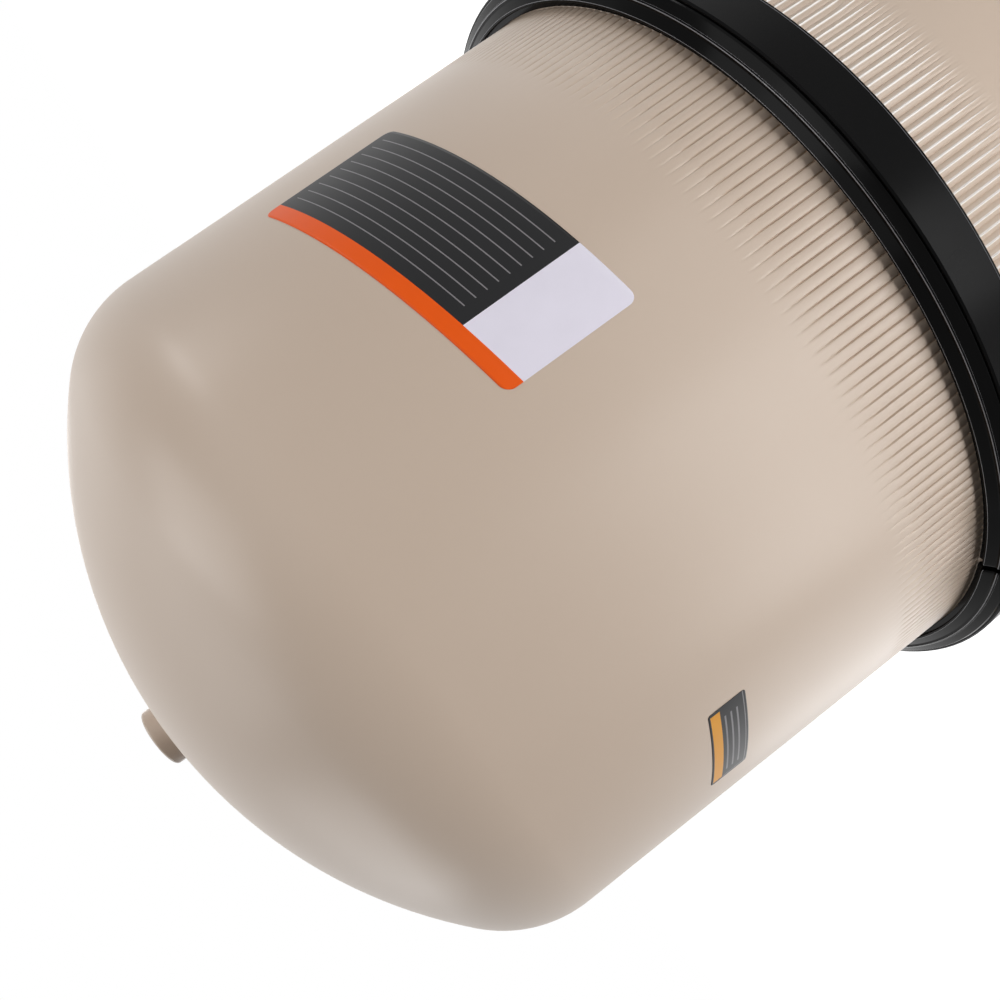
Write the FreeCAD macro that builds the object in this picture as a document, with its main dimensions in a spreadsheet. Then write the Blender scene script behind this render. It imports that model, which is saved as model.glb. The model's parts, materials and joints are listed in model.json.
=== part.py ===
"""Four-element pool cartridge filter: a two-piece tank held by a band clamp.

Millimetres, +Z up, origin on the tank axis at the ground. The ports face -Y.
Angles are in degrees, measured from +X round the tank axis.
"""
import FreeCAD, Part
import math
import os
import re

import Sketcher

V = FreeCAD.Vector
UP = V(0, 0, 1)

# Driving sizes: (name, value), each used by name in the formulas below.
SIZES = [
    # Tank
    ("parting_height", 600),
    ("tank_radius", 235),
    ("wall", 7),
    ("lid_draft", 2),
    ("lid_barrel", 279.9),
    ("knuckle_radius", 80.2),
    ("crown_radius", 295.9),
    ("boss_radius", 18.8),
    ("boss_rise", 11.9),
    ("boss_sink", 6),
    ("boss_fillet", 5.5),
    ("boss_round", 2),
    ("relief_bore_radius", 9.2),
    ("base_draft", 0.6),
    ("floor_corner_radius", 45),
    ("floor_corner_height", 55),
    ("floor_centre_height", 40),
    ("flange_radius", 247.5),
    ("flange_rim", 5.2),
    ("flange_root", 12),
    # Moulded ribs, left standing between pointed grooves above and below the clamp
    ("ribs", 258),
    ("rib_groove_depth", 1.4),
    ("rib_groove_width", 4.4),
    ("rib_land", 0.6),
    ("lid_rib_run", 50),
    ("base_rib_run", 96),
    # Base skirt and bolt-down lugs
    ("skirt_radius", 192),
    ("skirt_overlap", 3),
    ("foot_radius", 212),
    ("foot_thickness", 8),
    ("lug_reach", 246),
    ("lug_width", 46),
    ("anchor_radius", 228),
    ("anchor_hole_radius", 5.5),
    # Flat port panel on the front
    ("panel_half_width", 147),
    ("panel_face", 233),
    ("panel_corner", 14),
    ("panel_foot", 60),
    ("panel_foot_bevel", 12),
    ("panel_foot_run", 18),
    ("panel_backing", 30),
    ("panel_ramp_foot", 380),
    ("panel_ramp_top", 566),
    ("panel_root", 178),
    # Seal between the tank halves
    ("seal_radius", 233.5),
    ("seal_cord_radius", 4),
    ("seal_clearance", 0.3),
    ("lid_groove_depth", 3),
    ("groove_overrun", 1),
    # Band clamp
    ("clamp_half_width", 15.5),
    ("collar_radius", 235.7),
    ("collar_drop", 2.5),
    ("lip_radius", 238.8),
    ("seat_radius", 252.4),
    ("clamp_clearance", 0.3),
    ("strap_thickness", 1.9),
    ("strap_top", 8.2),
    ("strap_bottom", 14),
    ("lip_land", 1.4),
    ("flank_reach", 6.2),
    ("flank_drop", 2.9),
    ("bead_reach", 7.8),
    ("bead_drop", 2.7),
    ("facet_reach", 8.6),
    ("facet_drop", 3.4),
    ("groove_land", 0.6),
    ("groove_rise", 1.4),
    ("strap_edge", 0.8),
    ("strap_seat", 0.1),
    ("closure_angle", 160),
    ("half_gap", 0.5),
    ("hinge_radius", 262.5),
    ("hinge_pin_radius", 4),
    ("hinge_eye_radius", 7.6),
    ("pin_clearance", 0.06),
    ("knuckle_gap", 0.4),
    ("hinge_web", 14),
    ("pin_overhang", 2),
    ("pin_head_reach", 2),
    ("pin_head", 2.4),
    ("weld_overlap", 2),
    ("bolt_radius", 4.75),
    ("bolt_line_radius", 269),
    ("trunnion_radius", 6),
    ("trunnion_offset", 30),
    ("trunnion_overhang", 0.5),
    ("bolt_length", 140),
    ("ear_thickness", 6),
    ("ear_gap", 13),
    ("ear_length", 18),
    ("ear_margin", 3),
    ("ear_plate", 3),
    ("ear_plate_margin", 8),
    ("saddle_near", 14),
    ("saddle_far", 30),
    ("saddle_width", 30),
    ("bolt_slot_width", 11),
    ("washer_radius", 13),
    ("washer_thickness", 2.5),
    ("spring_length", 30),
    ("spring_radius", 8.2),
    ("spring_wire_radius", 1.3),
    ("spring_turns", 5),
    ("spring_seat_gap", 0.2),
    ("nut_radius", 11),
    ("nut_length", 18),
    # Ports, unions and drain
    ("port_offset", 85),
    ("port_height", 130),
    ("port_bore_radius", 24),
    ("thread_radius", 39),
    ("thread_clearance", 0.3),
    ("bulkhead_flange_radius", 47.5),
    ("bulkhead_flange", 7),
    ("spigot_radius", 29),
    ("spigot_length", 23),
    ("gasket", 3),
    ("bulkhead_reach", 40),
    ("locknut_length", 20),
    ("locknut_radius", 52),
    ("union_seal_radius", 33),
    ("union_seal_cord_radius", 1.5),
    ("seal_groove_gap", 0.2),
    ("tail_flange_radius", 37.5),
    ("tail_flange", 7),
    ("socket_radius", 30.2),
    ("socket_depth", 38),
    ("socket_wall", 4.8),
    ("union_nut_radius", 49),
    ("union_nut_lip", 5),
    ("union_nut_bevel", 3),
    ("socket_stop", 7),
    ("union_engagement", 18),
    ("grip_flutes", 12),
    ("grip_flute_radius", 6),
    ("grip_flute_depth", 2.5),
    ("drain_height", 106),
    ("drain_boss_radius", 30),
    ("drain_boss", 12),
    ("drain_radius", 20),
    ("drain_seal", 2.2),
    ("drain_head_radius", 28),
    ("drain_head", 7),
    ("drain_hex_radius", 14),
    ("drain_hex", 12),
    ("drain_seal_inset", 1),
    ("plug_inset", 1),
    ("fuse_overlap", 1),
    # Filter elements and manifolds
    ("element_offset", 90.9),
    ("element_radius", 89),
    ("element_bore_radius", 38),
    ("element_length", 660),
    ("cap_thickness", 12),
    ("cap_bevel", 2),
    ("core_wall", 3),
    ("pleat_tip_radius", 86),
    ("pleat_root_radius", 60),
    ("pleats", 60),
    ("media_clearance", 0.1),
    ("seat_height", 178),
    ("seat_flange_radius", 52),
    ("seat_flange", 6),
    ("post_radius", 40),
    ("arm_radius", 24),
    ("hub_radius", 36),
    ("post_foot_radius", 12),
    ("spigot_fit", 0.3),
    ("spigot_depth", 34),
    ("spigot_lead", 4),
    ("spigot_taper", 3),
    ("bore_sink", 10),
    ("pipe_gap", 1),
    ("manifold_wall", 3.5),
    ("top_post_rise", 36),
    ("top_post_taper", 6),
    ("top_hub_radius", 28),
    ("top_arm_radius", 15),
    ("outlet_pipe_radius", 33),
    ("bleed_tube_radius", 8),
    ("bleed_tube_bore", 5.5),
    ("bleed_tube_rise", 52),
    ("strainer_radius", 14),
    ("strainer_length", 40),
    ("strainer_grip", 12),
    ("strainer_wall", 2),
    ("strainer_crown", 5),
    ("tube_depth", 18),
    ("diffuser_depth", 46),
    ("diffuser_floor", 4),
    ("window_width", 13),
    ("window_height", 16),
]

doc = FreeCAD.newDocument("cartridge_filter")
sheet = doc.addObject("Spreadsheet::Sheet", "Sizes")
for row, (alias, number) in enumerate(SIZES, start=1):
    sheet.set("A%d" % row, alias)
    sheet.set("B%d" % row, str(number))
    sheet.setAlias("B%d" % row, alias)
doc.recompute()
NAMES = {alias for alias, number in SIZES}
nodes = []


def size(alias):
    """A driving size as a number, read from the sheet."""
    return float(getattr(sheet, alias))


def linked(formula):
    """The formula with each size name pointed at the sheet."""
    return re.sub(r"[a-z][a-z_]+", lambda m: "Sizes." * (m.group(0) in NAMES) + m.group(0), formula)


def bind(target, formulas):
    for path, formula in formulas.items():
        target.setExpression(path, linked(formula))


def node(target, label):
    """Marks an object as a finished piece with its own file."""
    target.Label = label
    nodes.append(target)
    return target


def draw_outline(sketch, points):
    """A closed outline of straight lines whose corners are formulas."""
    count = len(points)
    start = [V(60 + 20 * math.cos(2 * math.pi * i / count), 60 + 20 * math.sin(2 * math.pi * i / count), 0)
             for i in range(count)]
    for i in range(count):
        sketch.addGeometry(Part.LineSegment(start[i], start[(i + 1) % count]), False)
    for i in range(count):
        sketch.addConstraint(Sketcher.Constraint("Coincident", i, 2, (i + 1) % count, 1))
    for i, (across, along) in enumerate(points):
        for kind, axis, formula in (("DistanceX", -2, across), ("DistanceY", -1, along)):
            if formula == "0":
                sketch.addConstraint(Sketcher.Constraint("PointOnObject", i, 1, axis))
            else:
                where = start[i].x if kind == "DistanceX" else start[i].y
                number = sketch.addConstraint(Sketcher.Constraint(kind, -1, 1, i, 1, where))
                sketch.setExpression("Constraints[%d]" % number, linked(formula))


def place(target, base, axis=None, angle=None):
    """Puts a piece at formulas for X, Y and Z, turned about an axis by an angle formula."""
    target.Placement = FreeCAD.Placement(V(0, 0, 0), FreeCAD.Rotation(axis or UP, 0))
    bind(target, {"Placement.Base." + c: f for c, f in zip("xyz", base) if f != "0"})
    if angle:
        target.Placement = FreeCAD.Placement(V(0, 0, 0), FreeCAD.Rotation(axis or UP, 1))
        bind(target, {"Placement.Rotation.Angle": angle})


def body_sketch(label, role, points):
    body = doc.addObject("PartDesign::Body", label + "_body")
    sketch = body.newObject("Sketcher::SketchObject", label + "_outline")
    plane = [f for f in body.Origin.OriginFeatures if f.Role == role][0]
    sketch.AttachmentSupport = [(plane, "")]
    sketch.MapMode = "FlatFace"
    draw_outline(sketch, points)
    return body, sketch


def turned(label, points, sweep="360"):
    """A piece of revolution about its own Z: points are (radius, height) formulas."""
    body, sketch = body_sketch(label, "XZ_Plane", points)
    turn = body.newObject("PartDesign::Revolution", label + "_turn")
    turn.Profile = sketch
    turn.ReferenceAxis = (sketch, ["V_Axis"])
    turn.Angle = 360
    bind(turn, {"Angle": sweep})
    return body


def cylinder(name, radius, height, base=("0", "0", "0"), axis=None, angle=None):
    rod = doc.addObject("Part::Cylinder", name)
    bind(rod, {"Radius": radius, "Height": height})
    place(rod, base, axis, angle)
    return rod


def box(name, length, width, height, base=("0", "0", "0"), axis=None, angle=None):
    block = doc.addObject("Part::Box", name)
    bind(block, {"Length": length, "Width": width, "Height": height})
    place(block, base, axis, angle)
    return block


def fused(name, pieces):
    whole = doc.addObject("Part::MultiFuse", name)
    whole.Shapes = pieces
    return whole


def cut(name, base, tool):
    rest = doc.addObject("Part::Cut", name)
    rest.Base = base
    rest.Tool = tool
    return rest


def shape_object(name, shape):
    feature = doc.addObject("Part::Feature", name)
    feature.Shape = shape
    return feature


def arc(centre, radius, start, end):
    """An arc in the XZ plane between two angles in radians."""
    def at(angle):
        return V(centre[0] + radius * math.cos(angle), 0, centre[1] + radius * math.sin(angle))
    return Part.Arc(at(start), at((start + end) / 2), at(end)).toShape()


def spun(edges):
    """The solid that a closed chain of edges in the XZ plane sweeps round Z."""
    wire = Part.Wire(Part.__sortEdges__(edges))
    return Part.Face(wire).revolve(V(0, 0, 0), UP, 360)


def lines(points):
    return [Part.makeLine(V(a[0], 0, a[1]), V(b[0], 0, b[1])) for a, b in zip(points, points[1:])]


parting = size("parting_height")
wall = size("wall")


def rib_grooves(wall_at, start, end):
    """Pointed grooves round a barrel, deepest at their start and run out of the wall at their end."""
    depth = size("rib_groove_depth")
    spare = depth / 2
    growth = (depth + spare) / depth
    half = growth * size("rib_groove_width") / 2
    tip = start + growth * (end - start)
    reach = wall_at(start) + spare
    corners = [V(reach - spare - depth, 0, start), V(reach, half, start), V(reach, -half, start),
               V(wall_at(tip) + spare, 0, tip)]
    sides = [Part.Face(Part.makePolygon([corners[i], corners[j], corners[k], corners[i]]))
             for i, j, k in ((0, 1, 2), (0, 1, 3), (1, 2, 3), (2, 0, 3))]
    groove = Part.makeSolid(Part.makeShell(sides))
    grooves = []
    for rib in range(int(size("ribs"))):
        copy = groove.copy()
        copy.rotate(V(0, 0, 0), UP, (rib + 0.5) * 360 / size("ribs"))
        grooves.append(copy)
    return grooves


# Tank lid: drafted barrel, knuckle and crown, with the upper half of the clamping flange.
def lid_dome(inset):
    """The lid's meridian from the parting face to the apex, set in from the outside."""
    slope = math.tan(math.radians(size("lid_draft")))
    foot = size("tank_radius") + size("clamp_half_width") * slope - inset
    shoulder = (foot - size("lid_barrel") * slope, parting + size("lid_barrel"))
    across, along = -math.sin(math.radians(size("lid_draft"))), math.cos(math.radians(size("lid_draft")))
    knuckle = size("knuckle_radius") - inset
    crown = size("crown_radius") - inset
    centre = (shoulder[0] - along * knuckle, shoulder[1] + across * knuckle)
    crown_height = centre[1] - math.sqrt((crown - knuckle) ** 2 - centre[0] ** 2)
    first = math.atan2(-across, along)
    last = math.atan2(centre[1] - crown_height, centre[0])
    edges = [arc(centre, knuckle, first, last), arc((0, crown_height), crown, last, math.pi / 2)]
    return foot, slope, shoulder, edges, crown_height + crown


outer_foot, lid_slope, outer_shoulder, outer_edges, apex = lid_dome(0)
inner_foot, lid_slope, inner_shoulder, inner_edges, inner_apex = lid_dome(wall)
flange_root = size("flange_root")
root_radius = outer_foot - flange_root * lid_slope
rim_height = parting + size("flange_rim")
lid_outside = spun(
    lines([(0, parting), (size("flange_radius"), parting), (size("flange_radius"), rim_height),
           (root_radius, parting + flange_root), outer_shoulder])
    + outer_edges + lines([(0, apex), (0, parting)]))
lid_inside = spun(lines([(0, parting), (inner_foot, parting), inner_shoulder]) + inner_edges
                  + lines([(0, inner_apex), (0, parting)]))
lid_outside = lid_outside.cut(rib_grooves(
    lambda height: outer_foot - (height - parting) * lid_slope,
    parting + flange_root + size("rib_land"), parting + size("clamp_half_width") + size("lid_rib_run")))
boss = Part.makeCylinder(size("boss_radius"), size("boss_rise") + size("boss_sink"),
                         V(0, 0, apex - size("boss_sink")))
lid_blank = lid_outside.cut(lid_inside).fuse(boss)
for radius, above in ((size("boss_fillet"), False), (size("boss_round"), True)):
    rims = [e for e in lid_blank.Edges
            if abs(e.BoundBox.XMax - size("boss_radius")) < 0.01 and (e.BoundBox.ZMin > apex) == above
            and e.BoundBox.ZMin > apex - size("boss_sink") and e.BoundBox.ZLength < 0.01]
    lid_blank = lid_blank.makeFillet(radius, rims)
relief_bore = shape_object("relief_bore", Part.makeCylinder(
    size("relief_bore_radius"), 4 * size("boss_radius"), V(0, 0, apex - 2 * size("boss_radius"))))
lid_groove = turned("lid_groove", [
    ("seal_radius - seal_cord_radius - seal_clearance", "parting_height - groove_overrun"),
    ("seal_radius + seal_cord_radius + seal_clearance", "parting_height - groove_overrun"),
    ("seal_radius + seal_cord_radius + seal_clearance", "parting_height + lid_groove_depth"),
    ("seal_radius - seal_cord_radius - seal_clearance", "parting_height + lid_groove_depth")])
lid_cuts = fused("lid_cuts", [relief_bore, lid_groove])
node(cut("lid", shape_object("lid_blank", lid_blank), lid_cuts), "tank_lid")


# Tank base: barrel, dished floor on a skirt, bolt-down lugs and the flat port panel.
def base_meridian(inset):
    """The base's meridian from the parting face to the middle of its floor."""
    slope = math.tan(math.radians(size("base_draft")))
    top = size("tank_radius") - inset
    corner = size("floor_corner_radius") - inset
    corner_height = size("floor_corner_height") + size("floor_corner_radius")
    bottom = top - (parting - corner_height) * slope
    tangent = math.radians(size("base_draft"))
    centre = (bottom - corner * math.cos(tangent), corner_height)
    edges = [arc(centre, corner, -tangent, -math.pi / 2)]
    start = (centre[0] + corner * math.cos(tangent), centre[1] - corner * math.sin(tangent))
    floor = [(centre[0], centre[1] - corner), (0, size("floor_centre_height") + inset)]
    return top, start, edges, floor


base_top, base_start, base_edges, base_floor = base_meridian(0)
well_top, well_start, well_edges, well_floor = base_meridian(wall)
base_slope = math.tan(math.radians(size("base_draft")))
base_root_radius = size("tank_radius") - flange_root * base_slope
base_outside = spun(
    lines([(0, parting), (size("flange_radius"), parting),
           (size("flange_radius"), parting - size("flange_rim")),
           (base_root_radius, parting - flange_root), base_start])
    + base_edges + lines(base_floor) + lines([base_floor[1], (0, parting)]))
base_outside = base_outside.cut(rib_grooves(
    lambda height: size("tank_radius") - (parting - height) * base_slope,
    parting - flange_root - size("rib_land"), parting + size("clamp_half_width") - size("base_rib_run")))
base_inside = spun(lines([(0, parting), (well_top, parting), well_start]) + well_edges
                   + lines(well_floor) + lines([well_floor[1], (0, parting)]))


def panel_block(inset):
    """The port panel's block, its outer corners rounded."""
    face = -(size("panel_face") - inset)
    half = size("panel_half_width") - inset
    low, high = size("panel_foot") + inset, size("panel_ramp_top") - inset
    root = -(size("panel_root") - inset)
    back = root + size("panel_backing")
    profile = [(back, low), (face + size("panel_foot_run"), low), (face, low + size("panel_foot_bevel")),
               (face, size("panel_ramp_foot")), (root, high), (back, high)]
    wire = Part.makePolygon([V(-half, y, z) for y, z in profile + profile[:1]])
    block = Part.Face(wire).extrude(V(2 * half, 0, 0))
    corners = [e for e in block.Edges
               if abs(abs(e.CenterOfMass.x) - half) < 0.01 and e.CenterOfMass.y < root - 1
               and abs(e.tangentAt(e.FirstParameter).z) > 0.5]
    return block.makeFillet(size("panel_corner") - inset, corners)


outside = shape_object("base_outside", base_outside)
panel = shape_object("panel_block", panel_block(0))
skirt = turned("skirt", [
    ("skirt_radius - wall", "0"), ("foot_radius", "0"), ("foot_radius", "foot_thickness"),
    ("skirt_radius", "foot_thickness"), ("skirt_radius", "floor_corner_height + skirt_overlap"),
    ("skirt_radius - wall", "floor_corner_height + skirt_overlap")])
drain_boss = cylinder("drain_boss", "drain_boss_radius", "drain_boss + wall",
                      ("0", "wall - panel_face", "drain_height"), V(1, 0, 0), "90")
lugs = []
holes = []
for corner in range(4):
    heading = 45 + 90 * corner
    lug = box("lug_%d" % corner, "lug_reach - skirt_radius", "lug_width", "foot_thickness")
    across = ("skirt_radius * cos(%d) + lug_width / 2 * sin(%d)" % (heading, heading),
              "skirt_radius * sin(%d) - lug_width / 2 * cos(%d)" % (heading, heading), "0")
    place(lug, across, UP, str(heading))
    lugs.append(lug)
    holes.append(cylinder("anchor_hole_%d" % corner, "anchor_hole_radius", "3 * foot_thickness",
                          ("anchor_radius * cos(%d)" % heading, "anchor_radius * sin(%d)" % heading,
                           "-foot_thickness")))
for side, name in ((-1, "outlet"), (1, "inlet")):
    holes.append(cylinder(name + "_hole", "thread_radius + thread_clearance", "4 * wall",
                          ("%d * port_offset" % side, "2 * wall - panel_face", "port_height"),
                          V(1, 0, 0), "90"))
holes.append(cylinder("drain_hole", "drain_radius + thread_clearance", "4 * wall + drain_boss",
                      ("0", "2 * wall - panel_face", "drain_height"), V(1, 0, 0), "90"))
base_groove = turned("base_groove", [
    ("seal_radius - seal_cord_radius - seal_clearance", "parting_height + groove_overrun"),
    ("seal_radius + seal_cord_radius + seal_clearance", "parting_height + groove_overrun"),
    ("seal_radius + seal_cord_radius + seal_clearance",
     "parting_height + lid_groove_depth - 2 * seal_cord_radius - 2 * seal_clearance"),
    ("seal_radius - seal_cord_radius - seal_clearance",
     "parting_height + lid_groove_depth - 2 * seal_cord_radius - 2 * seal_clearance")])
hollow = fused("base_hollow", [shape_object("base_inside", base_inside),
                               shape_object("panel_hollow", panel_block(wall)), base_groove] + holes)
base_blank = fused("base_blank", [outside, panel, skirt, drain_boss] + lugs)
node(cut("base", base_blank, hollow), "tank_base")

# Tank seal: one round-section ring lying in the grooves of both flanges.
seal = doc.addObject("Part::Torus", "seal")
bind(seal, {"Radius1": "seal_radius", "Radius2": "seal_cord_radius"})
place(seal, ("0", "0", "parting_height + lid_groove_depth - seal_cord_radius - seal_clearance"))
node(seal, "tank_o_ring")


# Band clamp: two moulded retainers in the V of the flanges, each backed by a flat strap.
V_GROOVE = "(collar_radius - tank_radius) * (flange_root - flange_rim) / (flange_radius - tank_radius)"
COLLAR_FLANK = "flange_root - " + V_GROOVE + " + clamp_clearance"
RETAINER = [
    ("collar_radius", "parting_height + clamp_half_width - collar_drop"),
    ("lip_radius", "parting_height + clamp_half_width - collar_drop"),
    ("lip_radius", "parting_height + clamp_half_width"),
    ("lip_radius + lip_land", "parting_height + clamp_half_width"),
    ("lip_radius + flank_reach", "parting_height + clamp_half_width - flank_drop"),
    ("lip_radius + bead_reach", "parting_height + clamp_half_width - bead_drop"),
    ("lip_radius + facet_reach", "parting_height + clamp_half_width - facet_drop"),
    ("seat_radius - groove_land", "parting_height + strap_top + groove_rise"),
    ("seat_radius", "parting_height + strap_top + groove_land"),
    ("seat_radius", "parting_height - strap_bottom - strap_seat"),
    ("seat_radius + strap_thickness", "parting_height - strap_bottom - strap_seat"),
    ("seat_radius + strap_thickness", "parting_height - clamp_half_width"),
    ("lip_radius", "parting_height - clamp_half_width"),
    ("lip_radius", "parting_height - clamp_half_width + collar_drop"),
    ("collar_radius", "parting_height - clamp_half_width + collar_drop"),
    ("collar_radius", "parting_height - (" + COLLAR_FLANK + ")"),
    ("flange_radius + clamp_clearance", "parting_height - flange_rim - clamp_clearance"),
    ("flange_radius + clamp_clearance", "parting_height + flange_rim + clamp_clearance"),
    ("collar_radius", "parting_height + " + COLLAR_FLANK),
]
STRAP = [
    ("seat_radius + strap_seat", "parting_height - strap_bottom"),
    ("seat_radius + strap_thickness", "parting_height - strap_bottom"),
    ("seat_radius + strap_thickness", "parting_height + strap_top - strap_edge"),
    ("seat_radius + strap_thickness - strap_edge", "parting_height + strap_top"),
    ("seat_radius + strap_seat", "parting_height + strap_top"),
]
HALVES = (("front", "closure_angle + half_gap"), ("rear", "closure_angle + 180 + half_gap"))
for half, start in HALVES:
    retainer = turned("retainer_" + half, RETAINER, "180 - 2 * half_gap")
    place(retainer, ("0", "0", "0"), UP, start)
    node(retainer, "clamp_retainer_" + half)


def around(radius, tangent, height, angle):
    """Formulas for a place given by its radius, tangential offset and height at an angle."""
    return ("(%s) * cos(%s) - (%s) * sin(%s)" % (radius, angle, tangent, angle),
            "(%s) * sin(%s) + (%s) * cos(%s)" % (radius, angle, tangent, angle), height)


STRAP_MIDDLE = "parting_height + (strap_top - strap_bottom) / 2"
STRAP_FOOT = "parting_height - strap_bottom"
EYE_HEIGHT = "(strap_top + strap_bottom - 2 * knuckle_gap) / 3"
HINGE = "closure_angle + 180"


def hinge_eye(name, level, side):
    """One knuckle of the rear hinge with the web that joins it to its strap."""
    foot = "%s + %d * ((strap_top + strap_bottom + knuckle_gap) / 3)" % (STRAP_FOOT, level)
    eye = cylinder(name + "_eye", "hinge_eye_radius", EYE_HEIGHT, around("hinge_radius", "0", foot, HINGE))
    web_start = "0" if side > 0 else "-hinge_web"
    web = box(name + "_web", "hinge_radius - hinge_eye_radius / 2 - seat_radius - strap_thickness / 2",
              "hinge_web", EYE_HEIGHT)
    place(web, around("seat_radius + strap_thickness / 2", web_start, foot, HINGE), UP, HINGE)
    return [eye, web]


pin_hole = cylinder("hinge_pin_hole", "hinge_pin_radius + pin_clearance", "3 * (strap_top + strap_bottom)",
                    around("hinge_radius", "0", STRAP_FOOT + " - strap_top - strap_bottom", HINGE))
bands = {}
for half, start in HALVES:
    strap = turned("strap_" + half, STRAP, "180 - 2 * half_gap")
    place(strap, ("0", "0", "0"), UP, start)
    bands[half] = [strap]
bands["front"] += hinge_eye("hinge_middle", 1, -1)
bands["rear"] += hinge_eye("hinge_low", 0, 1) + hinge_eye("hinge_high", 2, 1)
for half in ("front", "rear"):
    node(cut("band_" + half, fused("band_blank_" + half, bands[half]), pin_hole), "clamp_strap_" + half)
pin_shank = cylinder("pin_shank", "hinge_pin_radius", "strap_top + strap_bottom + 2 * pin_overhang",
                     around("hinge_radius", "0", STRAP_FOOT + " - pin_overhang", HINGE))
pin_head = cylinder("pin_head", "hinge_pin_radius + pin_head_reach", "pin_head",
                    around("hinge_radius", "0", "parting_height + strap_top + knuckle_gap", HINGE))
node(fused("pin", [pin_shank, pin_head]), "clamp_hinge_pin")

# Closure: trunnion ears on the front strap, slotted saddle on the rear strap.
ear_blocks = []
for name, foot in (("low", STRAP_MIDDLE + " - ear_gap / 2 - ear_thickness"),
                   ("high", STRAP_MIDDLE + " + ear_gap / 2")):
    ear_reach = "bolt_line_radius - seat_radius - strap_thickness + trunnion_radius + ear_margin"
    ear = box("ear_" + name, ear_reach, "ear_length", "ear_thickness")
    ear_root = around("seat_radius + strap_thickness - weld_overlap", "trunnion_offset - ear_length / 2",
                      foot, "closure_angle")
    place(ear, ear_root, UP, "closure_angle")
    ear_blocks.append(ear)
ear_plate = box("ear_plate", "ear_plate", "ear_length + 2 * ear_plate_margin", "ear_gap + 2 * ear_thickness")
plate_root = around("seat_radius + strap_thickness - weld_overlap + strap_seat",
                    "trunnion_offset - ear_length / 2 - ear_plate_margin",
                    STRAP_MIDDLE + " - ear_gap / 2 - ear_thickness", "closure_angle")
place(ear_plate, plate_root, UP, "closure_angle")
RELIEF = ("seat_radius + strap_thickness + strap_seat", "2 * saddle_width",
          ("0", "0", STRAP_MIDDLE + " - saddle_width"))
trunnion_hole = cylinder(
    "trunnion_hole", "trunnion_radius + pin_clearance", "2 * saddle_width",
    around("bolt_line_radius", "trunnion_offset", STRAP_MIDDLE + " - saddle_width", "closure_angle"))
strap_relief = cylinder("strap_relief", *RELIEF)
ear_cuts = fused("ear_cuts", [trunnion_hole, strap_relief])
node(cut("ears", fused("ear_blank", ear_blocks + [ear_plate]), ear_cuts), "trunnion_bracket")

saddle_block = box("saddle_block", "bolt_line_radius - seat_radius - strap_thickness + weld_overlap",
                   "saddle_far - saddle_near", "saddle_width")
place(saddle_block, around("seat_radius + strap_thickness - weld_overlap", "-saddle_far",
                           STRAP_MIDDLE + " - saddle_width / 2", "closure_angle"), UP, "closure_angle")
saddle_slot = box("saddle_slot", "2 * bolt_slot_width", "saddle_far", "bolt_slot_width")
slot_root = around("bolt_line_radius - bolt_slot_width / 2 - clamp_clearance", "-saddle_far - ear_margin",
                   STRAP_MIDDLE + " - bolt_slot_width / 2", "closure_angle")
place(saddle_slot, slot_root, UP, "closure_angle")
saddle_cuts = fused("saddle_cuts", [saddle_slot, cylinder("saddle_relief", *RELIEF)])
node(cut("saddle", saddle_block, saddle_cuts), "bolt_saddle")

# T-bolt and its stack. Each piece points from the trunnion towards the nut, square to the radius.

def along_bolt(target, distance):
    """Lays a piece that was drawn along Z onto the bolt line, its foot a distance from the trunnion."""
    heading = math.radians(size("closure_angle"))
    radial = V(math.cos(heading), math.sin(heading), 0)
    line = V(math.sin(heading), -math.cos(heading), 0)
    middle = parting + (size("strap_top") - size("strap_bottom")) / 2
    base = radial * size("bolt_line_radius") - line * (size("trunnion_offset") - distance) + UP * middle
    target.Placement = FreeCAD.Placement(base, FreeCAD.Rotation(radial, line.cross(radial) * -1, line, "ZXY"))
    return target


bolt_shank = along_bolt(cylinder("bolt_shank", "bolt_radius", "bolt_length"), 0)
trunnion_foot = STRAP_MIDDLE + " - ear_gap / 2 - ear_thickness - trunnion_overhang"
trunnion = cylinder("trunnion", "trunnion_radius", "ear_gap + 2 * ear_thickness + 2 * trunnion_overhang",
                    around("bolt_line_radius", "trunnion_offset", trunnion_foot, "closure_angle"))
node(fused("bolt", [bolt_shank, trunnion]), "t_bolt")
first_washer = size("trunnion_offset") + size("saddle_far") + size("seal_clearance")
spring_start = first_washer + size("washer_thickness")
second_washer = spring_start + size("spring_length")
nut_start = second_washer + size("washer_thickness")
WASHER = [("bolt_radius + thread_clearance", "0"), ("washer_radius", "0"),
          ("washer_radius", "washer_thickness"), ("bolt_radius + thread_clearance", "washer_thickness")]
node(along_bolt(turned("saddle_washer", WASHER), first_washer), "saddle_washer")
node(along_bolt(turned("nut_washer", WASHER), second_washer), "nut_washer")
helix = Part.makeHelix((size("spring_length") - 2 * size("spring_wire_radius")) / size("spring_turns"),
                       size("spring_length") - 2 * size("spring_wire_radius"), size("spring_radius"))
section = Part.Wire(Part.makeCircle(size("spring_wire_radius"), V(size("spring_radius"), 0, 0), V(0, 1, 0)))
coil = Part.Wire(helix).makePipeShell([section], True, True)
coil.translate(V(0, 0, size("spring_wire_radius")))
seat_gap = size("spring_seat_gap")
ground = Part.makeCylinder(2 * size("spring_radius"), size("spring_length") - 2 * seat_gap, V(0, 0, seat_gap))
coil = coil.common(ground)
node(along_bolt(shape_object("coil", coil), spring_start), "clamp_spring")
nut_blank = doc.addObject("Part::Prism", "nut_blank")
bind(nut_blank, {"Circumradius": "nut_radius", "Height": "nut_length"})
nut_bore = cylinder("nut_bore", "bolt_radius + pin_clearance", "3 * nut_length", ("0", "0", "-nut_length"))
node(along_bolt(cut("nut", nut_blank, nut_bore), nut_start), "clamp_nut")

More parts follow.
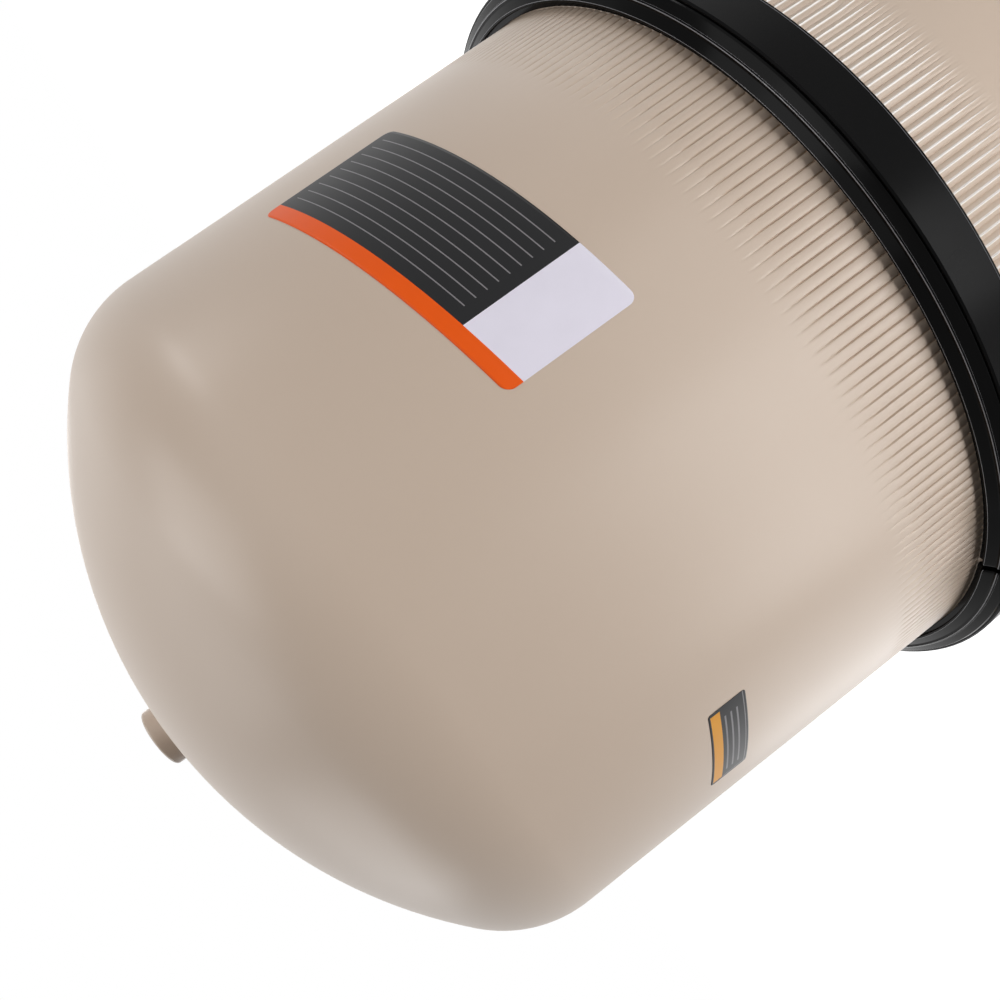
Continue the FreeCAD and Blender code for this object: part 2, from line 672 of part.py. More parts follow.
# Ports: bulkhead fitting, gasket and locknut on the panel, then a union with its seal.
INNER_FACE = "panel_face - wall"
FLANGE_BACK = INNER_FACE + " - gasket - bulkhead_flange"
UNION_FACE = "panel_face + bulkhead_reach"
TAIL_FACE = UNION_FACE + " + seal_clearance"
SEAL_OUTSIDE = "union_seal_radius + union_seal_cord_radius + seal_groove_gap"
SEAL_INSIDE = "union_seal_radius - union_seal_cord_radius - seal_groove_gap"
SEAL_FLOOR = UNION_FACE + " - 2 * union_seal_cord_radius + seal_groove_gap"
BULKHEAD = [
    ("port_bore_radius", FLANGE_BACK + " - spigot_length"),
    ("spigot_radius", FLANGE_BACK + " - spigot_length"),
    ("spigot_radius", FLANGE_BACK),
    ("bulkhead_flange_radius", FLANGE_BACK),
    ("bulkhead_flange_radius", INNER_FACE + " - gasket"),
    ("thread_radius", INNER_FACE + " - gasket"),
    ("thread_radius", UNION_FACE),
    (SEAL_OUTSIDE, UNION_FACE),
    (SEAL_OUTSIDE, SEAL_FLOOR),
    (SEAL_INSIDE, SEAL_FLOOR),
    (SEAL_INSIDE, UNION_FACE),
    ("port_bore_radius", UNION_FACE),
]
GASKET = [
    ("thread_radius + thread_clearance", INNER_FACE + " - gasket"),
    ("bulkhead_flange_radius", INNER_FACE + " - gasket"),
    ("bulkhead_flange_radius", INNER_FACE),
    ("thread_radius + thread_clearance", INNER_FACE),
]
TAIL_SHOULDER = TAIL_FACE + " + tail_flange"
SOCKET_FLOOR = TAIL_SHOULDER + " + socket_stop"
TAILPIECE = [
    ("port_bore_radius", TAIL_FACE),
    ("tail_flange_radius", TAIL_FACE),
    ("tail_flange_radius", TAIL_SHOULDER),
    ("socket_radius + socket_wall", TAIL_SHOULDER),
    ("socket_radius + socket_wall", SOCKET_FLOOR + " + socket_depth"),
    ("socket_radius", SOCKET_FLOOR + " + socket_depth"),
    ("socket_radius", SOCKET_FLOOR),
    ("port_bore_radius", SOCKET_FLOOR),
]
UNION_NUT = [
    ("thread_radius + thread_clearance", UNION_FACE + " - union_engagement"),
    ("union_nut_radius", UNION_FACE + " - union_engagement"),
    ("union_nut_radius", TAIL_SHOULDER + " + union_nut_lip - union_nut_bevel"),
    ("union_nut_radius - union_nut_bevel", TAIL_SHOULDER + " + union_nut_lip"),
    ("socket_radius + socket_wall + thread_clearance", TAIL_SHOULDER + " + union_nut_lip"),
    ("socket_radius + socket_wall + thread_clearance", TAIL_SHOULDER + " + thread_clearance"),
    ("thread_radius + thread_clearance", TAIL_SHOULDER + " + thread_clearance"),
]


def facing_front(target, across, height):
    """Turns a piece drawn along Z so that it points at -Y from the tank's middle plane."""
    place(target, (across, "0", height), V(1, 0, 0), "90")
    return target


def grip_flutes(name):
    """Finger flutes cut along the rim of a union nut."""
    cutters = []
    for flute in range(int(size("grip_flutes"))):
        heading = 360 * flute / size("grip_flutes")
        reach = "(union_nut_radius + grip_flute_radius - grip_flute_depth)"
        cutters.append(cylinder("%s_flute_%d" % (name, flute), "grip_flute_radius", "3 * union_engagement", (
            "%s * cos(%g)" % (reach, heading), "%s * sin(%g)" % (reach, heading),
            UNION_FACE + " - 1.5 * union_engagement")))
    return fused(name + "_flutes", cutters)


for side, name in ((-1, "outlet"), (1, "inlet")):
    across = "%d * port_offset" % side
    node(facing_front(turned(name + "_fitting", BULKHEAD), across, "port_height"), name + "_bulkhead")
    node(facing_front(turned(name + "_packing", GASKET), across, "port_height"), name + "_gasket")
    hex_nut = doc.addObject("Part::Prism", name + "_hex")
    bind(hex_nut, {"Circumradius": "locknut_radius", "Height": "locknut_length"})
    place(hex_nut, ("0", "0", "panel_face"))
    hex_bore = cylinder(name + "_hex_bore", "thread_radius + pin_clearance", "3 * locknut_length",
                        ("0", "0", "panel_face - locknut_length"))
    locknut = cut(name + "_ring", hex_nut, hex_bore)
    node(facing_front(locknut, across, "port_height"), name + "_locknut")
    ring = doc.addObject("Part::Torus", name + "_face_seal")
    bind(ring, {"Radius1": "union_seal_radius", "Radius2": "union_seal_cord_radius"})
    seal_middle = "-(" + UNION_FACE + " - union_seal_cord_radius + seal_clearance)"
    place(ring, (across, seal_middle, "port_height"), V(1, 0, 0), "90")
    node(ring, name + "_union_o_ring")
    node(facing_front(turned(name + "_tail", TAILPIECE), across, "port_height"), name + "_tailpiece")
    collar = cut(name + "_grip", turned(name + "_collar", UNION_NUT), grip_flutes(name))
    node(facing_front(collar, across, "port_height"), name + "_union_nut")

# Drain plug and its flat seal on the boss between the ports.
BOSS_FACE = "panel_face + drain_boss"
HEAD_BACK = BOSS_FACE + " + drain_seal + 2 * seal_clearance"
WASHER_FOOT = BOSS_FACE + " + seal_clearance"
drain_washer = turned("drain_washer", [
    ("drain_radius + thread_clearance", WASHER_FOOT),
    ("drain_head_radius - drain_seal_inset", WASHER_FOOT),
    ("drain_head_radius - drain_seal_inset", WASHER_FOOT + " + drain_seal"),
    ("drain_radius + thread_clearance", WASHER_FOOT + " + drain_seal")])
node(facing_front(drain_washer, "0", "drain_height"), "drain_plug_seal")
plug_shank = turned("plug_shank", [
    ("0", INNER_FACE + " + plug_inset"), ("drain_radius", INNER_FACE + " + plug_inset"),
    ("drain_radius", HEAD_BACK),
    ("drain_head_radius", HEAD_BACK), ("drain_head_radius", HEAD_BACK + " + drain_head"),
    ("0", HEAD_BACK + " + drain_head")])
plug_hex = doc.addObject("Part::Prism", "plug_hex")
bind(plug_hex, {"Circumradius": "drain_hex_radius", "Height": "drain_hex + fuse_overlap"})
place(plug_hex, ("0", "0", HEAD_BACK + " + drain_head - fuse_overlap"))
node(facing_front(fused("plug", [plug_shank, plug_hex]), "0", "drain_height"), "drain_plug")

# Filter elements: pleated media between two moulded end caps on a perforated core.
CORNERS = [(sx, sy) for sy in (-1, 1) for sx in (-1, 1)]
CAP = [("element_bore_radius", "0"), ("element_radius - cap_bevel", "0"), ("element_radius", "cap_bevel"),
       ("element_radius", "cap_thickness"), ("element_bore_radius", "cap_thickness")]
CORE = [("element_bore_radius", "0"), ("element_bore_radius + core_wall", "0"),
        ("element_bore_radius + core_wall", "element_length - 2 * cap_thickness"),
        ("element_bore_radius", "element_length - 2 * cap_thickness")]
pleat_count = int(size("pleats"))
star = []
for pleat in range(2 * pleat_count):
    reach = size("pleat_tip_radius") if pleat % 2 else size("pleat_root_radius")
    turn_angle = math.pi * pleat / pleat_count
    star.append(V(reach * math.cos(turn_angle), reach * math.sin(turn_angle), 0))
media_wire = Part.makePolygon(star + star[:1])
media_hole = Part.Wire(Part.makeCircle(
    size("element_bore_radius") + size("core_wall") + size("media_clearance")))
media_hole.reverse()
media_height = size("element_length") - 2 * size("cap_thickness")
pleated = Part.Face([media_wire, media_hole]).extrude(V(0, 0, media_height))
for number, (sx, sy) in enumerate(CORNERS, start=1):
    where = ("%d * element_offset" % sx, "%d * element_offset" % sy)
    label = "cartridge_%d" % number
    low_cap = turned(label + "_low", CAP)
    place(low_cap, where + ("seat_height + seal_clearance",))
    node(low_cap, label + "_bottom_cap")
    high_cap = turned(label + "_high", CAP)
    high_cap.Placement = FreeCAD.Placement(V(0, 0, 0), FreeCAD.Rotation(V(1, 0, 0), 180))
    bind(high_cap, {"Placement.Base.x": where[0], "Placement.Base.y": where[1],
                    "Placement.Base.z": "seat_height + seal_clearance + element_length"})
    node(high_cap, label + "_top_cap")
    core = turned(label + "_tube", CORE)
    place(core, where + ("seat_height + seal_clearance + cap_thickness",))
    node(core, label + "_core")
    media = shape_object(label + "_pleats", pleated.copy())
    media.Placement = FreeCAD.Placement(
        V(sx * size("element_offset"), sy * size("element_offset"),
          size("seat_height") + size("seal_clearance") + size("cap_thickness")), FreeCAD.Rotation())
    node(media, label + "_media")

# Lower manifold: four seats on a cross of pipes, with the outlet pipe to the port.
SPIGOT = "element_bore_radius - spigot_fit"
HUB_FOOT = "port_height - arm_radius - manifold_wall"
POST = [
    ("0", HUB_FOOT), ("post_radius", HUB_FOOT),
    ("post_radius", "seat_height - seat_flange"), ("seat_flange_radius", "seat_height - seat_flange"),
    ("seat_flange_radius", "seat_height"), (SPIGOT, "seat_height"),
    (SPIGOT, "seat_height + spigot_depth - spigot_lead"),
    (SPIGOT + " - spigot_taper", "seat_height + spigot_depth"),
    ("0", "seat_height + spigot_depth")]
diagonal = "element_offset * sqrt(2)"
foot_reach = size("element_offset") * math.sqrt(2) + size("post_foot_radius")
floor_rise = (well_floor[0][1] - well_floor[1][1]) / well_floor[0][0]
foot_seat = well_floor[1][1] + floor_rise * foot_reach + size("seal_clearance")
low_parts = []
low_bores = []
for number, (sx, sy) in enumerate(CORNERS, start=1):
    heading = math.degrees(math.atan2(sy, sx))
    where = ("%d * element_offset" % sx, "%d * element_offset" % sy)
    post = turned("low_post_%d" % number, POST)
    place(post, where + ("0",))
    foot = cylinder("low_foot_%d" % number, "post_foot_radius", "port_height - %.6f" % foot_seat,
                    where + ("%.6f" % foot_seat,))
    arm = cylinder("low_arm_%d" % number, "arm_radius", diagonal, ("0", "0", "port_height"))
    arm.Placement = FreeCAD.Placement(
        V(0, 0, size("port_height")), FreeCAD.Rotation(UP, V(sx, sy, 0)))
    bore = cylinder("low_bore_%d" % number, SPIGOT + " - manifold_wall",
                    "spigot_depth + seat_height - port_height + 2 * bore_sink",
                    where + ("port_height - bore_sink",))
    low_parts += [post, foot, arm]
    low_bores.append(bore)
hub = cylinder("low_hub", "hub_radius", "seat_height - port_height + arm_radius + manifold_wall",
               ("0", "0", HUB_FOOT))
PIPE_END = FLANGE_BACK + " - pipe_gap"
outlet_pipe = cylinder("outlet_pipe", "outlet_pipe_radius", PIPE_END + " - element_offset",
                       ("-port_offset", "-element_offset", "port_height"), V(1, 0, 0), "90")
socket_foot = "-(" + PIPE_END + " - spigot_length)"
pipe_socket = cylinder("pipe_socket", "spigot_radius + spigot_fit", "spigot_length + pipe_gap",
                       ("-port_offset", socket_foot, "port_height"), V(1, 0, 0), "90")
pipe_bore = cylinder("pipe_bore", "port_bore_radius", PIPE_END + " - element_offset - bore_sink",
                     ("-port_offset", "-element_offset - bore_sink", "port_height"), V(1, 0, 0), "90")
tube_socket = cylinder("tube_socket", "bleed_tube_radius + pin_clearance", "2 * tube_depth",
                       ("0", "0", "seat_height - tube_depth"))
node(cut("low_manifold", fused("low_blank", low_parts + [hub, outlet_pipe]),
         fused("low_cuts", low_bores + [pipe_socket, pipe_bore, tube_socket])), "lower_manifold")

# Inlet diffuser: a slotted cup on the inlet fitting that spreads the flow along the wall.
CUP_FLOOR = PIPE_END + " - diffuser_depth + diffuser_floor"
diffuser_cup = turned("diffuser_cup", [
    ("0", PIPE_END + " - diffuser_depth"), ("outlet_pipe_radius", PIPE_END + " - diffuser_depth"),
    ("outlet_pipe_radius", PIPE_END), ("spigot_radius + spigot_fit", PIPE_END),
    ("spigot_radius + spigot_fit", CUP_FLOOR), ("0", CUP_FLOOR)])
windows = []
for step in range(3):
    turn_by = 60 * step
    reach = "2 * outlet_pipe_radius"
    corner_x = "-%s * cos(%d) + window_width / 2 * sin(%d)" % (reach, turn_by, turn_by)
    corner_y = "-%s * sin(%d) - window_width / 2 * cos(%d)" % (reach, turn_by, turn_by)
    window = box("window_%d" % step, "2 * " + reach, "window_width", "window_height")
    place(window, (corner_x, corner_y, CUP_FLOOR + " + drain_seal_inset"), UP, str(turn_by) if step else None)
    windows.append(window)
diffuser = cut("diffuser", diffuser_cup, fused("windows", windows))
node(facing_front(diffuser, "port_offset", "port_height"), "inlet_diffuser")

# Upper manifold: four plugs in the tops of the elements, joined by a cross.
TOP_SEAT = "seat_height + 2 * seal_clearance + element_length"
TOP_POST = [
    ("0", TOP_SEAT + " - spigot_depth"), (SPIGOT + " - spigot_taper", TOP_SEAT + " - spigot_depth"),
    (SPIGOT, TOP_SEAT + " - spigot_depth + spigot_lead"), (SPIGOT, TOP_SEAT),
    ("seat_flange_radius", TOP_SEAT), ("seat_flange_radius", TOP_SEAT + " + seat_flange"),
    ("post_radius", TOP_SEAT + " + seat_flange"),
    ("post_radius - top_post_taper", TOP_SEAT + " + top_post_rise"), ("0", TOP_SEAT + " + top_post_rise")]
top_parts = [cylinder("top_hub", "top_hub_radius", "top_post_rise - seat_flange",
                      ("0", "0", TOP_SEAT + " + seat_flange"))]
top_bores = [cylinder("top_tube_hole", "bleed_tube_radius + pin_clearance", "3 * top_post_rise",
                      ("0", "0", TOP_SEAT + " - top_post_rise"))]
for number, (sx, sy) in enumerate(CORNERS, start=1):
    where = ("%d * element_offset" % sx, "%d * element_offset" % sy)
    post = turned("top_post_%d" % number, TOP_POST)
    place(post, where + ("0",))
    arm = cylinder("top_arm_%d" % number, "top_arm_radius", diagonal)
    arm.Placement = FreeCAD.Placement(
        V(0, 0, size("seat_height") + size("element_length") + 2 * size("seal_clearance")
          + size("seat_flange") + size("top_arm_radius")), FreeCAD.Rotation(UP, V(sx, sy, 0)))
    top_parts += [post, arm]
    bore_foot = where + (TOP_SEAT + " - spigot_depth - bore_sink",)
    top_bores.append(cylinder("top_bore_%d" % number, SPIGOT + " - manifold_wall - spigot_taper",
                              "spigot_depth + 2 * bore_sink", bore_foot))
node(cut("high_manifold", fused("top_blank", top_parts), fused("top_cuts", top_bores)), "upper_manifold")

# Air bleed: a tube up the middle with a strainer in the top of the lid.
TUBE_TOP = TOP_SEAT + " + top_post_rise + bleed_tube_rise"
node(turned("tube", [
    ("bleed_tube_bore", "seat_height - tube_depth"), ("bleed_tube_radius", "seat_height - tube_depth"),
    ("bleed_tube_radius", TUBE_TOP), ("bleed_tube_bore", TUBE_TOP)]), "air_bleed_tube")
STRAINER_FOOT = TUBE_TOP + " - strainer_grip"
STRAINER_CROWN = STRAINER_FOOT + " + strainer_length - strainer_crown"
node(turned("strainer", [
    ("bleed_tube_radius + pin_clearance", STRAINER_FOOT), ("strainer_radius", STRAINER_FOOT),
    ("strainer_radius", STRAINER_FOOT + " + strainer_length"), ("0", STRAINER_FOOT + " + strainer_length"),
    ("0", STRAINER_CROWN), ("strainer_radius - strainer_wall", STRAINER_CROWN),
    ("strainer_radius - strainer_wall", TUBE_TOP + " + strainer_wall"),
    ("bleed_tube_radius + pin_clearance", TUBE_TOP + " + strainer_wall")]), "air_bleed_strainer")

doc.recompute()
failed = [o.Label for o in doc.Objects if "Invalid" in o.State or "Error" in o.State]
for piece in nodes:
    if piece.Shape.isNull() or not piece.Shape.isValid() or not piece.Shape.Solids:
        failed.append(piece.Label)
if failed:
    raise SystemExit("pieces that did not build: " + ", ".join(sorted(set(failed))))
os.makedirs("parts", exist_ok=True)
for piece in nodes:
    piece.Shape.exportStep("parts/%s.step" % piece.Label)
print(len(nodes), "pieces")
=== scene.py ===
import json
import math

import bmesh
import bpy
from mathutils import Matrix, Vector


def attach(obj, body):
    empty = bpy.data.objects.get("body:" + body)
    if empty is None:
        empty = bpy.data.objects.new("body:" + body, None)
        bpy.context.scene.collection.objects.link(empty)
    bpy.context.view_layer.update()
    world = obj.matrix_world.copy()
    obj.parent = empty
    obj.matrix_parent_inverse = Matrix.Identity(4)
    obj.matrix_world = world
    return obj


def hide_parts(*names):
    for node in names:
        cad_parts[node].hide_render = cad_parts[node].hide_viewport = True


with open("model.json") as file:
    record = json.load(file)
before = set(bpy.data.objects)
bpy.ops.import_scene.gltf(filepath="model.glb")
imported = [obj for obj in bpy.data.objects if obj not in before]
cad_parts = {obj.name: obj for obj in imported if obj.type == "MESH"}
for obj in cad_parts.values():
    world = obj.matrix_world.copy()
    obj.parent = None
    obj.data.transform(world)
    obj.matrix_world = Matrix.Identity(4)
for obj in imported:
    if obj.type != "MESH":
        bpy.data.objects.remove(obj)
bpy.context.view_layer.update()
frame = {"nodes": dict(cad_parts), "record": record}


# Camera. It looks down past the clamp at the crown, turned nearly upside down,
# with the tank's axis running from the upper right of the picture to the lower left.
CAMERA_PLACE = Vector((-0.5180, -0.2990, 0.8892))
CAMERA_RIGHT = Vector((-0.43604, 0.43267, -0.78909))
CAMERA_UP = Vector((0.31034, -0.75075, -0.58314))


def placed(name, data):
    """A new object, linked into the scene."""
    piece = bpy.data.objects.new(name, data)
    bpy.context.collection.objects.link(piece)
    return piece


camera_data = bpy.data.cameras.new("camera")
camera_data.sensor_width = 36.0
camera_data.lens = 33.6
camera_data.clip_start = 0.01
camera = placed("camera", camera_data)
turn = Matrix((CAMERA_RIGHT, CAMERA_UP, CAMERA_RIGHT.cross(CAMERA_UP))).transposed()
camera.matrix_world = Matrix.Translation(CAMERA_PLACE) @ turn.to_4x4()
bpy.context.scene.camera = camera
bpy.context.scene.view_settings.view_transform = "Standard"


# Tank lid. A thick injection-moulded shell in almond plastic: drafted barrel, round knuckle,
# shallow crown with a tapped boss, and fine upright ribs that run out of the wall above the clamp.
PARTING = 0.600
TANK_RADIUS = 0.235
WALL = 0.007
CLAMP_HALF_WIDTH = 0.0155
FLANGE_RADIUS = 0.2475
FLANGE_RIM = 0.0052
FLANGE_ROOT = 0.012
LID_SLOPE = math.tan(math.radians(2.0))
LID_BARREL = 0.2799
KNUCKLE_RADIUS = 0.0802
CROWN_RADIUS = 0.2959
BOSS_RADIUS = 0.0188
BOSS_RISE = 0.0119
BOSS_FILLET = 0.0055
BOSS_EDGE = 0.0020
RELIEF_BORE = 0.0092
RIB_COUNT = 258
RIB_STEPS = 10
LID_RIB_RUN = 0.056
LID_RIB_TAPER = 0.45
LID_RIB_CROWN = 0.0005
LID_RIB_VALLEY = 0.0009
VALLEY_MOUTH = 0.21
SMOOTH_AROUND = RIB_COUNT
SEAL_INSIDE = 0.2292
SEAL_OUTSIDE = 0.2378
SEAL_DEPTH = 0.0030
LID_RIB_ROWS = 18
BARREL_ROWS = 12
KNUCKLE_ROWS = 28
CROWN_ROWS = 24
INNER_ROWS = 10
SHARP_DEGREES = 40.0


def arc_points(centre, radius, first, last, count):
    """Points (radius, height) along an arc, angles in radians."""
    angles = [first + (last - first) * i / (count - 1) for i in range(count)]
    return [(centre[0] + radius * math.cos(a), centre[1] + radius * math.sin(a)) for a in angles]


def stretch(start, end, count):
    """Points on the straight from start to end, with the end but not the start."""
    return [(start[0] + (end[0] - start[0]) * i / count, start[1] + (end[1] - start[1]) * i / count)
            for i in range(1, count + 1)]


def ring(radius, height, around, shift=None):
    """One ring of points; shift gives each azimuth and height its own radius."""
    if radius == 0:
        return [Vector((0, 0, height))]
    points = []
    for i in range(around):
        angle = 2 * math.pi * i / around
        reach = shift(radius, angle, height) if shift else radius
        points.append(Vector((reach * math.cos(angle), reach * math.sin(angle), height)))
    return points


def lathe(name, rings, closed=False):
    """A mesh over neighbouring rings, whose counts are equal, single, or a whole factor apart.
    A closed one runs back from its last ring to its first."""
    verts, faces, starts = [], [], []
    for points in rings:
        starts.append(len(verts))
        verts.extend(points)
    for index in range(len(rings) - (not closed)):
        following = (index + 1) % len(rings)
        near, far = len(rings[index]), len(rings[following])
        a, b = starts[index], starts[following]
        if far == 1:
            faces += [(a + i, a + (i + 1) % near, b) for i in range(near)]
        elif near == 1:
            faces += [(a, b + (i + 1) % far, b + i) for i in range(far)]
        elif near >= far:
            share = near // far
            for i in range(far):
                for j in range(share):
                    pair = (a + i * share + j, a + (i * share + j + 1) % near)
                    if share == 1:
                        faces.append((pair[0], pair[1], b + (i + 1) % far, b + i))
                    else:
                        faces.append((pair[0], pair[1], b + (i + (2 * j >= share)) % far))
                if share > 1:
                    middle = a + i * share + (share + 1) // 2
                    faces.append((middle, b + (i + 1) % far, b + i))
        else:
            share = far // near
            for i in range(near):
                for j in range(share):
                    pair = (b + i * share + j, b + (i * share + j + 1) % far)
                    faces.append((pair[1], pair[0], a + (i + (2 * j >= share)) % near))
                middle = b + i * share + (share + 1) // 2
                faces.append((middle, a + i, a + (i + 1) % near))
    mesh = bpy.data.meshes.new(name)
    mesh.from_pydata(verts, [], faces)
    mesh.validate()
    mesh.shade_smooth()
    mesh.set_sharp_from_angle(angle=math.radians(SHARP_DEGREES))
    return placed(name, mesh)


def across_rib(angle):
    """Where an azimuth lies on its rib: nothing in the valley and one at the top."""
    return abs((RIB_COUNT * angle / (2 * math.pi)) % 1 - 0.5) * 2


def rib_cut(angle, left, taper, crown, valley):
    """How deep the ribs cut the wall: rounded crowns that meet in pointed valleys. They run out
    over the taper's part of their length, where what is left of it goes from one to nothing."""
    across = across_rib(angle)
    share = min(1.0, max(0.0, left / taper))
    return crown * share * (1 - across) ** 2 + valley * max(0.0, share - across / VALLEY_MOUTH)


def lid_ribs(radius, angle, height):
    """The lid's wall with its ribs above the clamp."""
    left = 1 - (height - PARTING - CLAMP_HALF_WIDTH) / LID_RIB_RUN
    return radius - rib_cut(angle, left, LID_RIB_TAPER, LID_RIB_CROWN, LID_RIB_VALLEY)


def dome(inset):
    """Foot, shoulder, knuckle and crown of the lid's meridian, set in from the outside."""
    foot = TANK_RADIUS + CLAMP_HALF_WIDTH * LID_SLOPE - inset
    shoulder = (foot - LID_BARREL * LID_SLOPE, PARTING + LID_BARREL)
    tilt = math.atan(LID_SLOPE)
    knuckle, crown = KNUCKLE_RADIUS - inset, CROWN_RADIUS - inset
    centre = (shoulder[0] - math.cos(tilt) * knuckle, shoulder[1] - math.sin(tilt) * knuckle)
    crown_height = centre[1] - math.sqrt((crown - knuckle) ** 2 - centre[0] ** 2)
    join = math.atan2(centre[1] - crown_height, centre[0])
    return foot, shoulder, centre, knuckle, crown, crown_height, tilt, join


foot, shoulder, centre, knuckle, crown, crown_height, tilt, join = dome(0)
flange_start = (foot - FLANGE_ROOT * LID_SLOPE, PARTING + FLANGE_ROOT)
rib_top = PARTING + CLAMP_HALF_WIDTH + LID_RIB_RUN
rib_end = (foot - (rib_top - PARTING) * LID_SLOPE, rib_top)
boss_top = crown_height + crown + BOSS_RISE
fillet_radius = BOSS_RADIUS + BOSS_FILLET
fillet_height = crown_height + math.sqrt((crown + BOSS_FILLET) ** 2 - fillet_radius ** 2)
crown_end = math.atan2(fillet_height - crown_height, fillet_radius)
lid_rings = [ring(FLANGE_RADIUS, PARTING, RIB_COUNT * RIB_STEPS),
             ring(FLANGE_RADIUS, PARTING + FLANGE_RIM, RIB_COUNT * RIB_STEPS)]
for r, z in [flange_start] + stretch(flange_start, rib_end, LID_RIB_ROWS):
    lid_rings.append(ring(r, z, RIB_COUNT * RIB_STEPS, lid_ribs))
for r, z in (stretch(rib_end, shoulder, BARREL_ROWS)
             + arc_points(centre, knuckle, tilt, join, KNUCKLE_ROWS)[1:]
             + arc_points((0, crown_height), crown, join, crown_end, CROWN_ROWS)[1:]
             + arc_points((fillet_radius, fillet_height), BOSS_FILLET,
                          crown_end - math.pi, -math.pi, 8)[1:]
             + arc_points((BOSS_RADIUS - BOSS_EDGE, boss_top - BOSS_EDGE), BOSS_EDGE, 0, math.pi / 2, 6)
             + arc_points((RELIEF_BORE + BOSS_EDGE / 2, boss_top - BOSS_EDGE / 2), BOSS_EDGE / 2,
                          math.pi / 2, math.pi, 4)):
    lid_rings.append(ring(r, z, SMOOTH_AROUND))
foot, shoulder, centre, knuckle, crown, crown_height, tilt, join = dome(WALL)
bore_end = math.acos(RELIEF_BORE / crown)
for r, z in (arc_points((0, crown_height), crown, bore_end, join, INNER_ROWS)
             + arc_points(centre, knuckle, join, tilt, BARREL_ROWS)[1:]
             + stretch(shoulder, (foot, PARTING), 4)):
    lid_rings.append(ring(r, z, SMOOTH_AROUND))
for r, z in ((SEAL_INSIDE, PARTING), (SEAL_INSIDE, PARTING + SEAL_DEPTH),
             (SEAL_OUTSIDE, PARTING + SEAL_DEPTH), (SEAL_OUTSIDE, PARTING)):
    lid_rings.append(ring(r, z, SMOOTH_AROUND))
lid = lathe("moulded_lid", lid_rings, closed=True)
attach(lid, "tank")
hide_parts("tank_lid")


class Wire:
    """A shader socket. Sums and products of wires add their Math nodes."""

    def __init__(self, tree, socket=None):
        self.tree = tree
        self.socket = socket

    def add(self, kind, settings=None, inputs=None, output=0):
        """Adds a node: its settings first, then the values or links of its sockets."""
        node = self.tree.nodes.new(kind)
        for name, value in (settings or {}).items():
            if name == "stops":
                ramp = node.color_ramp.elements
                while len(ramp) < len(value):
                    ramp.new(0.5)
                for stop, (place, shade) in zip(ramp, value):
                    stop.position = place
                    stop.color = shade
            else:
                setattr(node, name, value)
        for name, value in (inputs or {}).items():
            if isinstance(value, Wire):
                self.tree.links.new(value.socket, node.inputs[name])
            else:
                node.inputs[name].default_value = value
        return Wire(self.tree, node.outputs[output])

    def maths(self, operation, first, second):
        return self.add("ShaderNodeMath", {"operation": operation}, {0: first, 1: second})

    def __add__(self, other):
        return self.maths("ADD", self, other)

    def __sub__(self, other):
        return self.maths("SUBTRACT", self, other)

    def __rsub__(self, other):
        return self.maths("SUBTRACT", other, self)

    def __mul__(self, other):
        return self.maths("MULTIPLY", self, other)

    __radd__ = __add__
    __rmul__ = __mul__


def finish(name, constants):
    """A new material with its constant shader values; gives its first wire, shader and material."""
    material = bpy.data.materials.new(name)
    material.use_nodes = True
    shader = material.node_tree.nodes["Principled BSDF"]
    for socket, value in constants.items():
        shader.inputs[socket].default_value = value
    return Wire(material.node_tree), shader, material


def feed(shader, socket, wire):
    """Links a varying value into one of a node's sockets."""
    wire.tree.links.new(wire.socket, shader.inputs[socket])


def noise(place, scale, detail):
    """Noise over the object's own coordinates."""
    return place.add("ShaderNodeTexNoise", inputs={"Vector": place, "Scale": scale, "Detail": detail})


def mixed(share, first, second):
    """The colour that lies a share of the way from the first to the second."""
    return share.add("ShaderNodeMix", {"data_type": "RGBA"}, {0: share, 6: first, 7: second}, 2)


def bump(height, strength, distance):
    """A bump from a height, for the shader's normal."""
    return height.add("ShaderNodeBump", inputs={
        "Strength": strength, "Distance": distance, "Height": height})


def moulded(name, pale, deep, roughness, grain, crests=None):
    """Moulded plastic: a faint drift of colour and gloss, the fine texture of the tool, and, where a
    mask is given for them, a painted highlight: crests made paler in colour and glossier."""
    start, shader, material = finish(name, {"Specular IOR Level": 0.5})
    place = start.add("ShaderNodeTexCoord", output="Object")
    drift = noise(place, DRIFT_SCALE, 3.0)
    colour = mixed(drift, deep, pale)
    gloss = (drift - 0.5) * GLOSS_SPREAD + roughness
    if crests:
        # Painted highlight: the colour goes paler along the crests where the mask is one.
        painted_highlight = crests(place)
        colour = mixed(painted_highlight, colour, PAINTED_CREST_HIGHLIGHT)
        gloss = gloss - painted_highlight * CREST_HIGHLIGHT_GLOSS
    feed(shader, "Base Color", colour)
    feed(shader, "Roughness", gloss)
    feed(shader, "Normal", bump(noise(place, GRAIN_SCALE, 2.0), grain, GRAIN_DEPTH))
    return material


DRIFT_SCALE = 7.0
GLOSS_SPREAD = 0.04
GRAIN_SCALE = 900.0
GRAIN_DEPTH = 0.0002
ALMOND_PALE = (0.606, 0.486, 0.390, 1)
ALMOND_DEEP = (0.580, 0.459, 0.363, 1)
ALMOND_ROUGHNESS = 0.34
ALMOND_GRAIN = 0.06
almond = moulded("almond_moulded", ALMOND_PALE, ALMOND_DEEP, ALMOND_ROUGHNESS, ALMOND_GRAIN)
lid.data.materials.append(almond)


